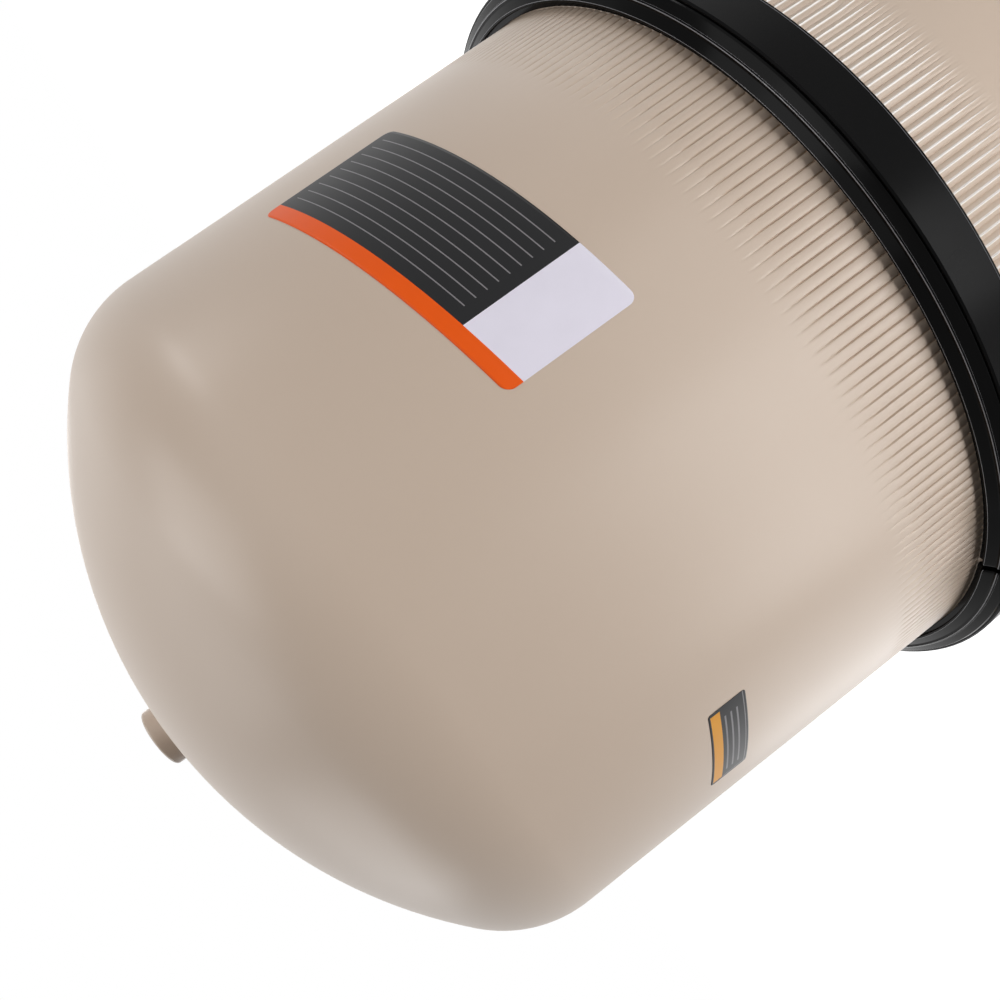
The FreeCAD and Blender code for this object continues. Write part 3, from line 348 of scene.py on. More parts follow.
# Tank base. The lower shell of the same plastic: a nearly upright barrel with its own ribs,
# a flat port panel that ramps back into the wall, a dished floor, a skirt and four drilled lugs.
BASE_SLOPE = math.tan(math.radians(0.6))
BASE_RIB_RUN = 0.096
BASE_RIB_TAPER = 0.26
BASE_RIB_CREST = 0.0008
BASE_RIB_VALLEY = 0.0010
CREST_FOOT = 0.28
CREST_FILL = 2.0
BASE_VALLEY_MOUTH = 0.45
BASE_BARREL_ROWS = 60
BASE_RIB_ROWS = 24
WELL_ROWS = 24
CORNER_ROWS = 26
WELL_CORNER_ROWS = 14
LUG_HEADINGS = [math.radians(45 + 90 * i) for i in range(4)]
ROUNDING_SHARE = 0.45
BOSS_STEPS = 96
PORT_STEPS = 128
ANCHOR_STEPS = 48
CORNER_RADIUS = 0.045
CORNER_HEIGHT = 0.100
FLOOR_MIDDLE = 0.040
SKIRT_RADIUS = 0.192
FOOT_RADIUS = 0.212
FOOT_THICKNESS = 0.008
LUG_REACH = 0.246
LUG_WIDTH = 0.046
ANCHOR_RADIUS = 0.228
ANCHOR_HOLE = 0.0055
PANEL_HALF = 0.147
PANEL_FACE = 0.233
PANEL_ROOT = 0.178
PANEL_FOOT = 0.060
PANEL_BEVEL = 0.012
PANEL_RUN = 0.018
RAMP_FOOT = 0.380
RAMP_TOP = 0.566
PANEL_BLEND = 0.003
PANEL_SPAN = 1.2
PANEL_CRISP = 40
BASE_AROUND = RIB_COUNT * 5
LUG_CORNER = 0.006
FOOT_EDGE = 0.001
SEAL_SEAT = 0.0056
DRAIN_HEIGHT = 0.106
DRAIN_BOSS = 0.030
DRAIN_RISE = 0.012
DRAIN_FILLET = 0.003
DRAIN_HOLE = 0.0203
PORT_OFFSET = 0.085
PORT_HEIGHT = 0.130
PORT_HOLE = 0.0393


def base_rib_cut(angle, left):
    """How deep the base's wall is cut between narrow crests, with a valley half way between."""
    across = across_rib(angle)
    share = min(1.0, max(0.0, left / BASE_RIB_TAPER))
    crest = max(0.0, share - (1 - across) / CREST_FOOT)
    valley = max(0.0, share - across / BASE_VALLEY_MOUTH)
    return BASE_RIB_CREST * (share - crest) + BASE_RIB_VALLEY * valley


def panel_reach(angle, height, inset):
    """How far the port panel's block reaches from the axis at an azimuth, or nothing."""
    off = math.atan2(math.cos(angle), -math.sin(angle))
    low, high = PANEL_FOOT + inset, RAMP_TOP - inset
    if abs(off) > PANEL_SPAN or height < low or height > high:
        return 0.0
    face = PANEL_FACE - inset
    if height < low + PANEL_BEVEL:
        face -= PANEL_RUN * (1 - (height - low) / PANEL_BEVEL)
    elif height > RAMP_FOOT:
        face -= (PANEL_FACE - PANEL_ROOT) * (height - RAMP_FOOT) / (high - RAMP_FOOT)
    front = face / math.cos(off)
    side = (PANEL_HALF - inset) / max(1e-6, abs(math.sin(off)))
    return (front ** -PANEL_CRISP + side ** -PANEL_CRISP) ** (-1 / PANEL_CRISP)


def base_wall(inset):
    """The base's wall as a shift of radius, with the panel and, outside, the ribs."""
    def shift(radius, angle, height):
        left = 1 - (PARTING + CLAMP_HALF_WIDTH - height) / BASE_RIB_RUN
        plain = radius
        if inset == 0:
            plain -= base_rib_cut(angle, left)
        block = panel_reach(angle, height, inset)
        gap = max(PANEL_BLEND - abs(plain - block), 0.0)
        return max(plain, block) + gap * gap / (4 * PANEL_BLEND)
    return shift


def barrel(height, inset):
    """The barrel's radius at a height."""
    return TANK_RADIUS - inset - (PARTING - height) * BASE_SLOPE


def base_corner(inset, count):
    """The rounded corner between barrel and floor."""
    lean = math.atan(BASE_SLOPE)
    radius = CORNER_RADIUS - inset
    middle = (barrel(CORNER_HEIGHT, inset) - radius * math.cos(lean), CORNER_HEIGHT)
    return arc_points(middle, radius, -lean, -math.pi / 2, count)


def shaped(piece, tools, operation):
    """Joins tools to a piece, or cuts them out of it, and takes the tools away."""
    whole = bmesh.new()
    for tool in tools:
        whole.from_mesh(tool.data)
        bpy.data.objects.remove(tool)
    together = bpy.data.meshes.new("tools")
    whole.to_mesh(together)
    whole.free()
    cutter = placed("tools", together)
    step = piece.modifiers.new("step", "BOOLEAN")
    step.object = cutter
    step.operation = operation
    step.solver = "EXACT"
    seen = piece.evaluated_get(bpy.context.evaluated_depsgraph_get())
    result = bpy.data.meshes.new_from_object(seen)
    piece.modifiers.clear()
    result.name = piece.name
    piece.data = result
    bpy.data.objects.remove(cutter)


def turned(name, outline, count, matrix):
    """A closed turned form from (radius, height) points, set in place by a matrix."""
    first, last = outline[0], outline[-1]
    rings = [ring(0, first[1], 1)] + [ring(r, z, count) for r, z in outline] + [ring(0, last[1], 1)]
    piece = lathe(name, rings)
    piece.data.transform(matrix)
    return piece


def rounded(corners, steps=4):
    """A closed outline whose corners (x, y, radius) are rounded by arcs."""
    outline = []
    for index, (x, y, radius) in enumerate(corners):
        corner = Vector((x, y))
        before = Vector(corners[index - 1][:2]) - corner
        after = Vector(corners[(index + 1) % len(corners)][:2]) - corner
        half = before.angle(after) / 2
        most = ROUNDING_SHARE * min(before.length, after.length)
        back = min(radius / math.tan(half), most) if radius else 0
        if back == 0:
            outline.append(corner)
            continue
        first, last = corner + before.normalized() * back, corner + after.normalized() * back
        for i in range(steps + 1):
            t = i / steps
            outline.append(first * (1 - t) ** 2 + corner * 2 * t * (1 - t) + last * t ** 2)
    return outline


def lug_level(inset, height):
    """The outline of a lug at one height."""
    near, far, half = SKIRT_RADIUS - WALL / 2, LUG_REACH - inset, LUG_WIDTH / 2 - inset
    outline = rounded([(near, -half, 0), (far, -half, LUG_CORNER),
                       (far, half, LUG_CORNER), (near, half, 0)])
    return [Vector((x, y, height)) for x, y in outline]


def lug(heading):
    """One bolt-down lug: a flat tongue with rounded corners and an eased top edge."""
    middle = (SKIRT_RADIUS + LUG_REACH) / 2
    piece = lathe("lug", [
        [Vector((middle, 0, 0))], lug_level(0, 0), lug_level(0, FOOT_THICKNESS - FOOT_EDGE),
        lug_level(FOOT_EDGE, FOOT_THICKNESS), [Vector((middle, 0, FOOT_THICKNESS))]])
    piece.data.transform(Matrix.Rotation(heading, 4, "Z"))
    return piece


floor_edge = CORNER_HEIGHT - CORNER_RADIUS
rib_foot = PARTING + CLAMP_HALF_WIDTH - BASE_RIB_RUN
outside, inside = base_wall(0), base_wall(WALL)
base_rings = [ring(0, FLOOR_MIDDLE, 1)]
for r, z in ((SKIRT_RADIUS - WALL, floor_edge), (SKIRT_RADIUS - WALL, FOOT_EDGE),
             (SKIRT_RADIUS - WALL + FOOT_EDGE, 0), (FOOT_RADIUS - FOOT_EDGE / 2, 0),
             (FOOT_RADIUS, FOOT_EDGE / 2), (FOOT_RADIUS, FOOT_THICKNESS - FOOT_EDGE),
             (FOOT_RADIUS - FOOT_EDGE, FOOT_THICKNESS), (SKIRT_RADIUS + 4 * FOOT_EDGE, FOOT_THICKNESS),
             (SKIRT_RADIUS + FOOT_EDGE, FOOT_THICKNESS + FOOT_EDGE),
             (SKIRT_RADIUS, FOOT_THICKNESS + 4 * FOOT_EDGE)):
    base_rings.append(ring(r, z, SMOOTH_AROUND))
corner = [(r, z) for r, z in reversed(base_corner(0, CORNER_ROWS)) if z > PANEL_FOOT]
base_rings.append(ring(SKIRT_RADIUS, PANEL_FOOT - 3 * FOOT_EDGE, BASE_AROUND))
base_rings.append(ring(corner[0][0], PANEL_FOOT, BASE_AROUND))
base_rings.append(ring(corner[0][0], PANEL_FOOT, BASE_AROUND, outside))
base_rings += [ring(r, z, BASE_AROUND, outside) for r, z in corner]
for i in range(1, BASE_BARREL_ROWS + 1):
    z = CORNER_HEIGHT + (rib_foot - CORNER_HEIGHT) * i / BASE_BARREL_ROWS
    base_rings.append(ring(barrel(z, 0), z, BASE_AROUND, outside))
for i in range(BASE_RIB_ROWS + 1):
    z = rib_foot + (PARTING - FLANGE_ROOT - rib_foot) * i / BASE_RIB_ROWS
    base_rings.append(ring(barrel(z, 0), z, RIB_COUNT * RIB_STEPS, outside))
base_rings += [ring(FLANGE_RADIUS, PARTING - FLANGE_RIM, RIB_COUNT * RIB_STEPS),
               ring(FLANGE_RADIUS, PARTING, RIB_COUNT * RIB_STEPS)]
for r, z in ((SEAL_OUTSIDE, PARTING), (SEAL_OUTSIDE, PARTING - SEAL_SEAT),
             (SEAL_INSIDE, PARTING - SEAL_SEAT), (SEAL_INSIDE, PARTING),
             (barrel(PARTING, WALL), PARTING)):
    base_rings.append(ring(r, z, SMOOTH_AROUND))
well_foot = PANEL_FOOT + WALL
for i in range(WELL_ROWS + 1):
    z = PARTING - 2 * WALL - (PARTING - 2 * WALL - CORNER_HEIGHT) * i / WELL_ROWS
    base_rings.append(ring(barrel(z, WALL), z, 2 * SMOOTH_AROUND, inside))
well_corner = base_corner(WALL, WELL_CORNER_ROWS)
well_rest = [(r, z) for r, z in well_corner if z < well_foot]
base_rings += [ring(r, z, 2 * SMOOTH_AROUND, inside) for r, z in well_corner if z > well_foot]
base_rings.append(ring(well_rest[0][0], well_foot, 2 * SMOOTH_AROUND, inside))
base_rings += [ring(r, z, 2 * SMOOTH_AROUND) for r, z in well_rest]
base_rings.append(ring(0, FLOOR_MIDDLE + WALL, 1))
base = lathe("moulded_base", base_rings)
facing = Matrix.Rotation(math.pi / 2, 4, "X")
to_front = Matrix.Translation((0, -PANEL_FACE, DRAIN_HEIGHT)) @ facing
boss = [(DRAIN_BOSS + DRAIN_FILLET, -WALL / 2), (DRAIN_BOSS + DRAIN_FILLET, 0)]
boss += arc_points((DRAIN_BOSS + DRAIN_FILLET, DRAIN_FILLET), DRAIN_FILLET, -math.pi / 2, -math.pi, 8)
boss += arc_points((DRAIN_BOSS - FOOT_EDGE, DRAIN_RISE - FOOT_EDGE), FOOT_EDGE, 0, math.pi / 2, 4)
shaped(base, [lug(heading) for heading in LUG_HEADINGS]
       + [turned("boss", boss, BOSS_STEPS, to_front)], "UNION")
cuts = [turned("hole", [(DRAIN_HOLE, -2 * WALL), (DRAIN_HOLE, 2 * DRAIN_RISE)],
               BOSS_STEPS, to_front)]
for side in (-1, 1):
    port = Matrix.Translation((side * PORT_OFFSET, -PANEL_FACE, PORT_HEIGHT)) @ facing
    cuts.append(turned("hole", [(PORT_HOLE, -2 * WALL), (PORT_HOLE, 2 * WALL)], PORT_STEPS, port))
for heading in LUG_HEADINGS:
    spot = Matrix.Rotation(heading, 4, "Z") @ Matrix.Translation((ANCHOR_RADIUS, 0, 0))
    cuts.append(turned("hole", [
        (ANCHOR_HOLE, -FOOT_THICKNESS), (ANCHOR_HOLE, FOOT_THICKNESS - FOOT_EDGE),
        (ANCHOR_HOLE + FOOT_EDGE, FOOT_THICKNESS),
        (ANCHOR_HOLE + FOOT_EDGE, 2 * FOOT_THICKNESS)], ANCHOR_STEPS, spot))
shaped(base, cuts, "DIFFERENCE")
base.data.shade_smooth()
base.data.set_sharp_from_angle(angle=math.radians(SHARP_DEGREES))
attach(base, "tank")
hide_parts("tank_base")


def rib_crest_highlight(place):
    """One along the crests of the base's ribs, and nothing between or beyond them: the mask of a
    painted highlight. The paler tone there is painted in for the line of light on each, which the lamps
    alone don't bring out."""
    x, y, z = (place.add("ShaderNodeSeparateXYZ", inputs={"Vector": place}, output=i)
               for i in range(3))
    turn = y.maths("ARCTAN2", y, x) * (RIB_COUNT / (2 * math.pi))
    away = turn.maths("PINGPONG", turn, 0.5) * (2 / CREST_FOOT)
    run = (z - rib_foot) * (1 / (BASE_RIB_RUN * BASE_RIB_TAPER))
    share = run.maths("MINIMUM", run, 1.0)
    crest = (share - away) * CREST_FILL
    crest = crest.maths("MINIMUM", crest, 1.0)
    reach = x * x + y * y
    reach = reach.maths("POWER", reach, 0.5) - z * BASE_SLOPE
    wall = reach.add("ShaderNodeMath", {"operation": "COMPARE"}, {
        0: reach, 1: TANK_RADIUS - PARTING * BASE_SLOPE, 2: 2 * BASE_RIB_CREST})
    return crest.maths("MAXIMUM", crest, 0.0) * wall


# Painted highlight on the crests of the base's ribs: a near-white colour and extra gloss there.
PAINTED_CREST_HIGHLIGHT = (0.96, 0.92, 0.88, 1)
CREST_HIGHLIGHT_GLOSS = 0.16
base.data.materials.append(moulded(
    "almond_ribbed_painted_crests", ALMOND_PALE, ALMOND_DEEP, ALMOND_ROUGHNESS, ALMOND_GRAIN, rib_crest_highlight))


# Stickers. Two blank vinyl stickers lie on the barrel, each a thin film with rounded corners,
# printed in plain blocks of colour with fine rules.
FILM = 0.00018
FILM_GAP = 0.00004
FILM_STEPS = 96
CORNER_STEPS = 8
RULE = 0.008


def deepened(colour, share):
    """A colour brought down to a share of its strength."""
    return tuple(share * part for part in colour[:3]) + (1,)


def print_finish(name, colour, roughness):
    """Printed vinyl: a flat ink with a slight mottle."""
    start, shader, material = finish(name, {"Specular IOR Level": 0.2})
    place = start.add("ShaderNodeTexCoord", output="Object")
    mottle = noise(place, 60.0, 2.0)
    feed(shader, "Base Color", mixed(mottle, deepened(colour, 0.93), colour))
    feed(shader, "Roughness", (mottle - 0.5) * 0.08 + roughness)
    return material


INKS = [print_finish("ink_black", (0.008, 0.008, 0.009, 1), 0.34),
        print_finish("ink_orange", (0.95, 0.115, 0.004, 1), 0.36),
        print_finish("ink_white", (0.90, 0.86, 0.97, 1), 0.40),
        print_finish("ink_grey", (0.24, 0.23, 0.24, 1), 0.40),
        print_finish("ink_amber", (0.80, 0.35, 0.030, 1), 0.36)]
BLACK, ORANGE, WHITE, GREY, AMBER = range(5)


def wall_point(azimuth, height, lift):
    """A point just off the lid's barrel."""
    reach = TANK_RADIUS + CLAMP_HALF_WIDTH * LID_SLOPE - (height - PARTING) * LID_SLOPE + lift
    return Vector((reach * math.cos(azimuth), reach * math.sin(azimuth), height))


def sticker(name, ends, feet, tops, corner, columns, rows, paint):
    """A film on the barrel. Ends are azimuths in degrees, feet and tops heights above the clamp."""
    base_height = PARTING + CLAMP_HALF_WIDTH
    width = math.radians(ends[1] - ends[0]) * TANK_RADIUS
    tall = (tops[0] + tops[1] - feet[0] - feet[1]) / 2
    ends_in = [corner / width * (1 - math.cos(math.pi / (2 * CORNER_STEPS) * i))
               for i in range(CORNER_STEPS + 1)]
    across = sorted(set([i / FILM_STEPS for i in range(FILM_STEPS + 1)] + columns
                        + ends_in + [1 - u for u in ends_in]))
    verts, faces, inks = [], [], []
    for u in across:
        from_end = min(u, 1 - u) * width
        short = max(0.0, corner - from_end)
        trim = (corner - math.sqrt(corner * corner - short * short)) / tall
        azimuth = math.radians(ends[0] + (ends[1] - ends[0]) * u)
        low = feet[0] + (feet[1] - feet[0]) * u
        high = tops[0] + (tops[1] - tops[0]) * u
        for v in rows:
            kept = min(1 - trim, max(trim, v))
            verts.append(wall_point(azimuth, base_height + low + (high - low) * kept, FILM_GAP))
    count = len(rows)
    for i in range(len(across) - 1):
        for j in range(count - 1):
            quad = (i * count + j, (i + 1) * count + j, (i + 1) * count + j + 1, i * count + j + 1)
            side = max((verts[quad[0]] - verts[quad[3]]).length,
                       (verts[quad[1]] - verts[quad[2]]).length)
            if side > 1e-7:
                faces.append(quad)
                inks.append(paint((across[i] + across[i + 1]) / 2, (rows[j] + rows[j + 1]) / 2))
    mesh = bpy.data.meshes.new(name)
    mesh.from_pydata(verts, [], faces)
    for ink in INKS:
        mesh.materials.append(ink)
    for polygon, ink in zip(mesh.polygons, inks):
        polygon.material_index = ink
    mesh.validate()
    mesh.shade_smooth()
    piece = placed(name, mesh)
    film = piece.modifiers.new("film", "SOLIDIFY")
    film.thickness = FILM
    film.offset = 1.0
    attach(piece, "tank")
    return piece


BIG_BAND = 0.877
BIG_PANEL = 0.205
BIG_RULES = [0.10 + 0.085 * i for i in range(9)]
BIG_RULE_START = BIG_PANEL + 0.04
BIG_RULE_END = 0.97
BIG_CORNER_ROWS = [0.02, 0.04, 0.06, 0.90, 0.93, 0.96, 0.98]


def big_paint(u, v):
    """An orange band along the top, a white panel at one end and rules on black."""
    if v > BIG_BAND:
        return ORANGE
    if u < BIG_PANEL:
        return WHITE
    ruled = any(abs(v - rule) < RULE / 2 for rule in BIG_RULES)
    return GREY if ruled and BIG_RULE_START < u < BIG_RULE_END else BLACK


big_rows = sorted([0, BIG_BAND, 1] + BIG_CORNER_ROWS
                  + [r + side * RULE / 2 for r in BIG_RULES for side in (-1, 1)])
sticker("large_sticker", (-142.6, -99.5), (0.1015, 0.118), (0.172, 0.195), 0.005,
        [BIG_PANEL, BIG_RULE_START, BIG_RULE_END], big_rows, big_paint)

SMALL_BAND = 0.70
STRIP_TOP = 0.95
STRIP_ENDS = [0.03, 0.97]
SMALL_RULE = 0.022
FOOT_RULE = 0.07
SIDE_RULE = [0.022, 0.034]
SMALL_RULES = [0.26, 0.42, 0.58]
SMALL_RULE_ENDS = [0.12, 0.88]
SMALL_CORNER_ROWS = [0.02, 0.98]


def small_paint(u, v):
    """An amber strip along the top, a grey rule along the foot and one end, and rules on black."""
    if SMALL_BAND < v < STRIP_TOP and STRIP_ENDS[0] < u < STRIP_ENDS[1]:
        return AMBER
    framed = abs(v - FOOT_RULE) < SMALL_RULE / 2 or (
        SIDE_RULE[0] < u < SIDE_RULE[1] and v < SMALL_BAND)
    ruled = any(abs(v - rule) < SMALL_RULE for rule in SMALL_RULES)
    return GREY if framed or (ruled and SMALL_RULE_ENDS[0] < u < SMALL_RULE_ENDS[1]) else BLACK


small_rows = sorted([0, FOOT_RULE - SMALL_RULE / 2, FOOT_RULE + SMALL_RULE / 2, SMALL_BAND,
                     STRIP_TOP, 1] + SMALL_CORNER_ROWS
                    + [r + side * SMALL_RULE for r in SMALL_RULES for side in (-1, 1)])
sticker("small_sticker", (155.6, 171.6), (0.1591, 0.1509), (0.1821, 0.1732), 0.0018,
        SIDE_RULE + STRIP_ENDS + SMALL_RULE_ENDS, small_rows, small_paint)


# Clamp retainers. Two half rings moulded in glossy black plastic: they draw the flanges together
# in their V, and carry the strap in a shallow seat between a bead and a lower ledge.
CLOSURE = 160.0
HALF_GAP = 0.5
COLLAR = 0.2357
LIP = 0.2388
SEAT = 0.2524
STRAP = 0.0019
CLEARANCE = 0.0003
END_ROUND = 0.0016
END_STEPS = 6
SWEEP_STEPS = 240
RETAINER_SHARP = 34
COLLAR_HALF = 0.0130
LEDGE = -0.0141
groove = (COLLAR - TANK_RADIUS) * (FLANGE_ROOT - FLANGE_RIM) / (FLANGE_RADIUS - TANK_RADIUS)
flank = FLANGE_ROOT - groove + CLEARANCE
RETAINER = [
    (COLLAR, COLLAR_HALF, 0.0003), (LIP, COLLAR_HALF, 0.0003), (LIP, CLAMP_HALF_WIDTH, 0.0006),
    (LIP + 0.0014, CLAMP_HALF_WIDTH, 0.0005), (LIP + 0.0062, 0.0126, 0.0008),
    (LIP + 0.0078, 0.0128, 0.0006), (LIP + 0.0086, 0.0121, 0.0004), (SEAT - 0.0006, 0.0096, 0.0004),
    (SEAT, 0.0088, 0.0003), (SEAT, LEDGE, 0.0), (SEAT + STRAP, LEDGE, 0.0004),
    (SEAT + STRAP, -CLAMP_HALF_WIDTH, 0.0006), (LIP, -CLAMP_HALF_WIDTH, 0.0008),
    (LIP, -COLLAR_HALF, 0.0003), (COLLAR, -COLLAR_HALF, 0.0003), (COLLAR, -flank, 0.0),
    (FLANGE_RADIUS + CLEARANCE, -FLANGE_RIM - CLEARANCE, 0.0004),
    (FLANGE_RADIUS + CLEARANCE, FLANGE_RIM + CLEARANCE, 0.0004), (COLLAR, flank, 0.0)]
# Edges that get a narrow paler band: partly wear, partly a painted highlight.
EDGES_WEAR_AND_HIGHLIGHT = [(LIP + 0.0014, CLAMP_HALF_WIDTH), (LIP + 0.0078, 0.0128),
                (LIP + 0.0086, 0.0121), (SEAT + STRAP, LEDGE)]
EDGE_WIDTH = 0.00028


def half_ring(name, start, outline):
    """A half ring swept from an outline, its two ends rounded over. Its edges carry a
    narrow paler band, partly wear and partly a painted highlight for the thin lines of light along them."""
    middle = sum(outline, Vector((0, 0))) / len(outline)
    sweep = math.radians(180 - 2 * HALF_GAP)
    end_angle = END_ROUND / LIP
    turns = [math.pi / 2 * i / END_STEPS for i in range(END_STEPS + 1)]
    path = [(end_angle * (1 - math.cos(t)), END_ROUND * (1 - math.sin(t))) for t in turns]
    inner = sweep - 2 * end_angle
    path += [(end_angle + inner * i / SWEEP_STEPS, 0.0) for i in range(1, SWEEP_STEPS)]
    path += [(sweep - angle, inset) for angle, inset in reversed(path[:END_STEPS + 1])]
    verts, faces = [], []
    size = len(outline)
    for angle, inset in path:
        azimuth = math.radians(start) + angle
        for point in outline:
            out = point - middle
            kept = middle + out * (1 - 0.5 * inset / max(out.length, inset))
            verts.append((kept.x * math.cos(azimuth), kept.x * math.sin(azimuth), PARTING + kept.y))
    wear_and_highlight = []
    for j in range(size):
        between = (outline[j] + outline[(j + 1) % size]) / 2
        wear_and_highlight.append(any((between - Vector(edge)).length < EDGE_WIDTH for edge in EDGES_WEAR_AND_HIGHLIGHT))
    for i in range(len(path) - 1):
        for j in range(size):
            k = (j + 1) % size
            faces.append((i * size + j, i * size + k, (i + 1) * size + k, (i + 1) * size + j))
    faces.append(tuple(reversed(range(size))))
    faces.append(tuple(range((len(path) - 1) * size, len(path) * size)))
    mesh = bpy.data.meshes.new(name)
    mesh.from_pydata(verts, [], faces)
    mesh.validate()
    for polygon in mesh.polygons[:(len(path) - 1) * size]:
        polygon.material_index = int(wear_and_highlight[polygon.index % size])
    mesh.shade_smooth()
    mesh.set_sharp_from_angle(angle=math.radians(RETAINER_SHARP))
    piece = placed(name, mesh)
    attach(piece, "tank")
    return piece


def black_gloss(name, dark, roughness, shine, peel, scale):
    """Glossy black with a slight waviness and fine dust marks in its gloss."""
    start, shader, material = finish(name, {"Specular IOR Level": shine})
    place = start.add("ShaderNodeTexCoord", output="Object")
    dust = noise(place, 40.0, 4.0)
    feed(shader, "Base Color", mixed(
        dust, (0.6 * dark, 0.6 * dark, 0.65 * dark, 1), (dark, dark, 1.1 * dark, 1)))
    feed(shader, "Roughness", (dust - 0.5) * 0.08 + roughness)
    feed(shader, "Normal", bump(noise(place, scale, 2.0), peel, 0.0001))
    return material


clamp_plastic = black_gloss("clamp_moulding", 0.0016, 0.13, 0.05, 0.05, 260.0)
# The pale grey of the retainers' edge band is partly wear and partly a painted highlight.
edge_wear_and_highlight = black_gloss("clamp_edge_wear_and_highlight", 0.20, 0.18, 0.6, 0.05, 260.0)
strap_paint = black_gloss("strap_paint", 0.0016, 0.26, 0.05, 0.05, 420.0)
for half, start in (("front", CLOSURE + HALF_GAP), ("rear", CLOSURE + 180 + HALF_GAP)):
    retainer = half_ring("retainer_" + half, start, rounded(RETAINER))
    retainer.data.materials.append(clamp_plastic)
    retainer.data.materials.append(edge_wear_and_highlight)
    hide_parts("clamp_retainer_" + half)


# Pressed and turned hardware of the clamp, and the fittings below. Their solids show as they are,
# with broken edges and the finish that each is made in.
EDGE_BREAK = 0.0004
FITTING_EDGE = 0.0008
EDGE_ANGLE = 50


def metal(name, colour, roughness, scale):
    """Turned or drawn metal: fine lay marks and a slight change of gloss."""
    start, shader, material = finish(name, {"Metallic": 1.0})
    place = start.add("ShaderNodeTexCoord", output="Object")
    lay = noise(place, scale, 5.0)
    feed(shader, "Base Color", mixed(lay, deepened(colour, 0.82), colour))
    feed(shader, "Roughness", (lay - 0.5) * 0.20 + roughness)
    feed(shader, "Normal", bump(lay, 0.15, 0.0001))
    return material


def woven(name, colour):
    """Spun polyester: a fine fibrous mat."""
    start, shader, material = finish(name, {"Roughness": 0.9, "Specular IOR Level": 0.2})
    place = start.add("ShaderNodeTexCoord", output="Object")
    fibre = noise(place, 1200.0, 4.0)
    feed(shader, "Base Color", mixed(fibre, deepened(colour, 0.80), colour))
    feed(shader, "Normal", bump(fibre, 0.4, 0.0002))
    return material


FINISHES = {
    "clamp_black_steel": strap_paint,
    "stainless": metal("stainless_turned", (0.62, 0.62, 0.60, 1), 0.28, 500.0),
    "spring_steel": metal("spring_wire", (0.46, 0.46, 0.47, 1), 0.32, 700.0),
    "brass": metal("brass_machined", (0.78, 0.58, 0.28, 1), 0.26, 500.0),
    "black_rubber": moulded("rubber", (0.022, 0.022, 0.022, 1), (0.016, 0.016, 0.016, 1), 0.62, 0.2),
    "port_black_plastic": moulded(
        "fitting_black", (0.020, 0.020, 0.021, 1), (0.015, 0.015, 0.016, 1), 0.42, 0.15),
    "white_pvc": moulded("pipe_white", (0.80, 0.80, 0.77, 1), (0.75, 0.75, 0.72, 1), 0.32, 0.06),
    "manifold_plastic": moulded("manifold_grey", (0.56, 0.56, 0.54, 1), (0.50, 0.50, 0.49, 1), 0.45, 0.1),
    "media_fabric": woven("pleated_media", (0.84, 0.84, 0.82, 1)),
    "cap_plastic": moulded("cap_blue", (0.10, 0.22, 0.36, 1), (0.08, 0.19, 0.32, 1), 0.45, 0.1),
    "core_plastic": moulded("core_white", (0.78, 0.78, 0.76, 1), (0.72, 0.72, 0.70, 1), 0.45, 0.1),
}
REPLACED = {"tank_lid", "tank_base", "clamp_retainer_front", "clamp_retainer_rear"}
slots = {part["node"]: part["material_slot"] for part in frame["record"]["subparts"]}
for node, part in frame["nodes"].items():
    if node in REPLACED:
        continue
    part.data.materials.clear()
    part.data.materials.append(FINISHES[slots[node]])
    if not node.startswith("cartridge"):
        edge = part.modifiers.new("edges", "BEVEL")
        edge.width = FITTING_EDGE if slots[node] in ("port_black_plastic", "white_pvc") else EDGE_BREAK
        edge.segments = 2
        edge.limit_method = "ANGLE"
        edge.angle_limit = math.radians(EDGE_ANGLE)
        edge.harden_normals = True


# Floor, world and lamps. A pale floor and surround that look white to the camera and in
# reflections and hardly light the tank. Soft area lamps do that: low ones round the sides, high
# ones over the crown, and a long thin one for the streak of light on the knuckle.
FLOOR_SIZE = 12.0
FLOOR_DROP = 0.0005
GLOW_START = 0.30
GLOW_END = 1.10
GLOW_LEAST = 0.40
floor_mesh = bpy.data.meshes.new("floor")
floor_mesh.from_pydata([(x * FLOOR_SIZE, y * FLOOR_SIZE, -FLOOR_DROP)
                        for x, y in ((-1, -1), (1, -1), (1, 1), (-1, 1))], [], [(0, 1, 2, 3)])
floor = placed("floor", floor_mesh)


def backdrop_rays(start):
    """One for the rays that see the white background: the camera's, reflected and let through."""
    eye, gloss, through = (start.add("ShaderNodeLightPath", output=name)
                           for name in ("Is Camera Ray", "Is Glossy Ray", "Is Transmission Ray"))
    return start.maths("MINIMUM", eye + gloss + through, 1.0)


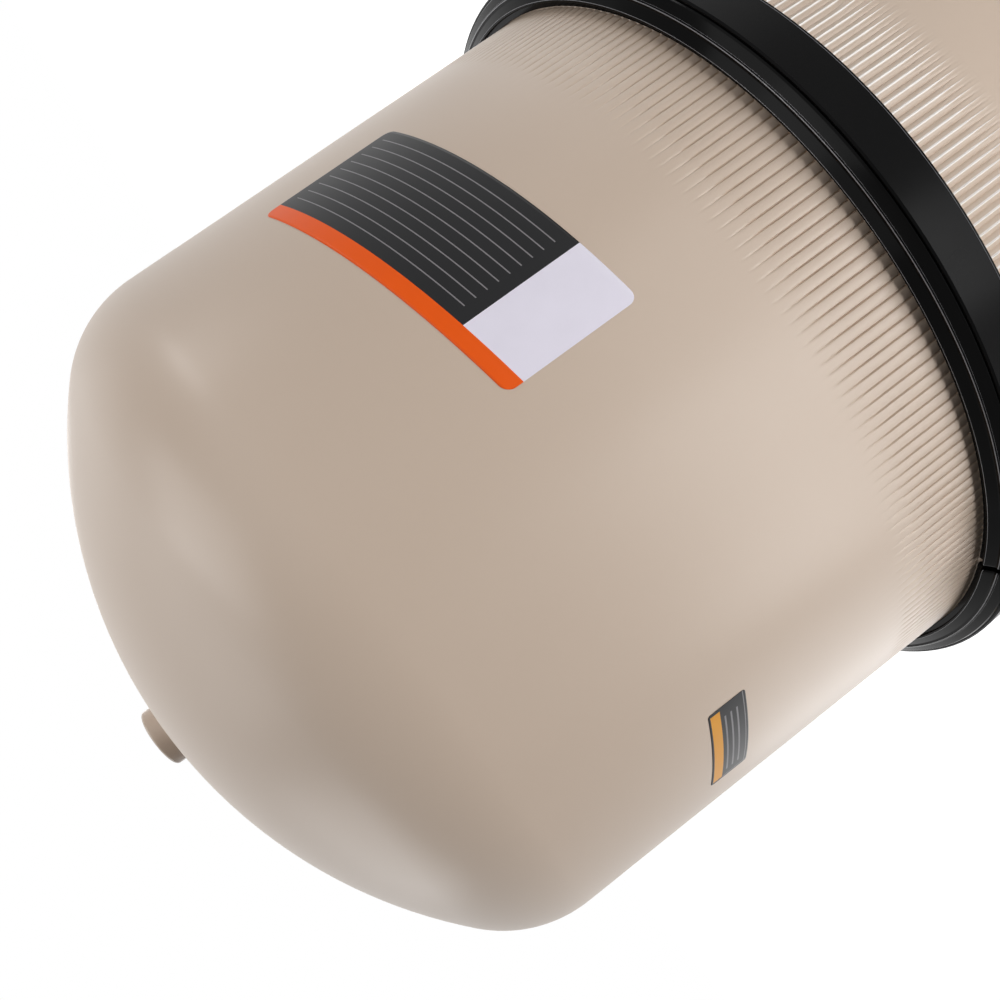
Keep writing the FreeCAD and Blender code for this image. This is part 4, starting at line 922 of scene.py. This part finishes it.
floor_start, floor_shader, floor_material = finish("floor", {
    "Base Color": (0.62, 0.62, 0.62, 1), "Roughness": 0.9, "Emission Strength": 1.0})
floor_place = floor_start.add("ShaderNodeTexCoord", output="Object")
from_axis = floor_place.add("ShaderNodeVectorMath", {"operation": "LENGTH"}, {0: floor_place}, "Value")
glow = from_axis.add("ShaderNodeMapRange", {"interpolation_type": "SMOOTHSTEP"}, {
    "Value": from_axis, "From Min": GLOW_START, "From Max": GLOW_END,
    "To Min": GLOW_LEAST, "To Max": 1.0})
feed(floor_shader, "Emission Color", glow * backdrop_rays(floor_start))
floor_mesh.materials.append(floor_material)

world = bpy.data.worlds.new("studio")
world.use_nodes = True
bpy.context.scene.world = world
AMBIENT = 0.05
background = world.node_tree.nodes["Background"]
background.inputs["Color"].default_value = (1, 1, 1, 1)
feed(background, "Strength", backdrop_rays(Wire(world.node_tree)) * (1 - AMBIENT) + AMBIENT)

LAMPS = [
    ("left_low_lamp", (-1.39, 0.20, 0.20), (1.8, 0.40), 10.5),
    ("floor_lamp", (-0.93, -0.23, 0.06), (0.45, 0.15), 1.66),
    ("front_low_lamp", (-0.90, -0.90, 0.20), (0.8, 0.40), 1.75),
    ("back_low_lamp", (-0.35, 1.40, 0.24), (1.2, 0.50), 2.39),
    ("right_lamp", (1.90, 0.80, 0.90), (1.6, 1.4), 12.9),
    ("near_low_lamp", (0.24, -0.90, 0.16), (0.90, 0.40), 0.644),
    ("front_lamp", (0.10, -1.46, 1.12), (1.2, 0.60), 0.92),
    ("streak_lamp", (0.40, -1.41, 1.03), (0.50, 0.08), 1.38),
    ("corner_lamp", (-0.62, -1.24, 1.32), (1.2, 0.90), 1.93),
    ("high_lamp", (-0.06, -0.82, 2.04), (1.0, 0.80), 6.44),
    ("top_lamp", (0.13, -0.23, 2.26), (1.0, 1.0), 3.5),
    ("far_high_lamp", (1.00, -0.57, 1.74), (0.8, 0.8), 0.736),
    ("back_high_lamp", (0.00, 0.96, 1.93), (0.8, 0.8), 2.39),
]
AIM = Vector((0, 0, 0.78))
for name, place, size, power in LAMPS:
    lamp_data = bpy.data.lights.new(name, "AREA")
    lamp_data.shape = "RECTANGLE"
    lamp_data.size, lamp_data.size_y = size
    lamp_data.energy = power
    lamp = placed(name, lamp_data)
    lamp.visible_camera = False
    lamp.location = place
    lamp.rotation_euler = (AIM - Vector(place)).to_track_quat("-Z", "Y").to_euler()
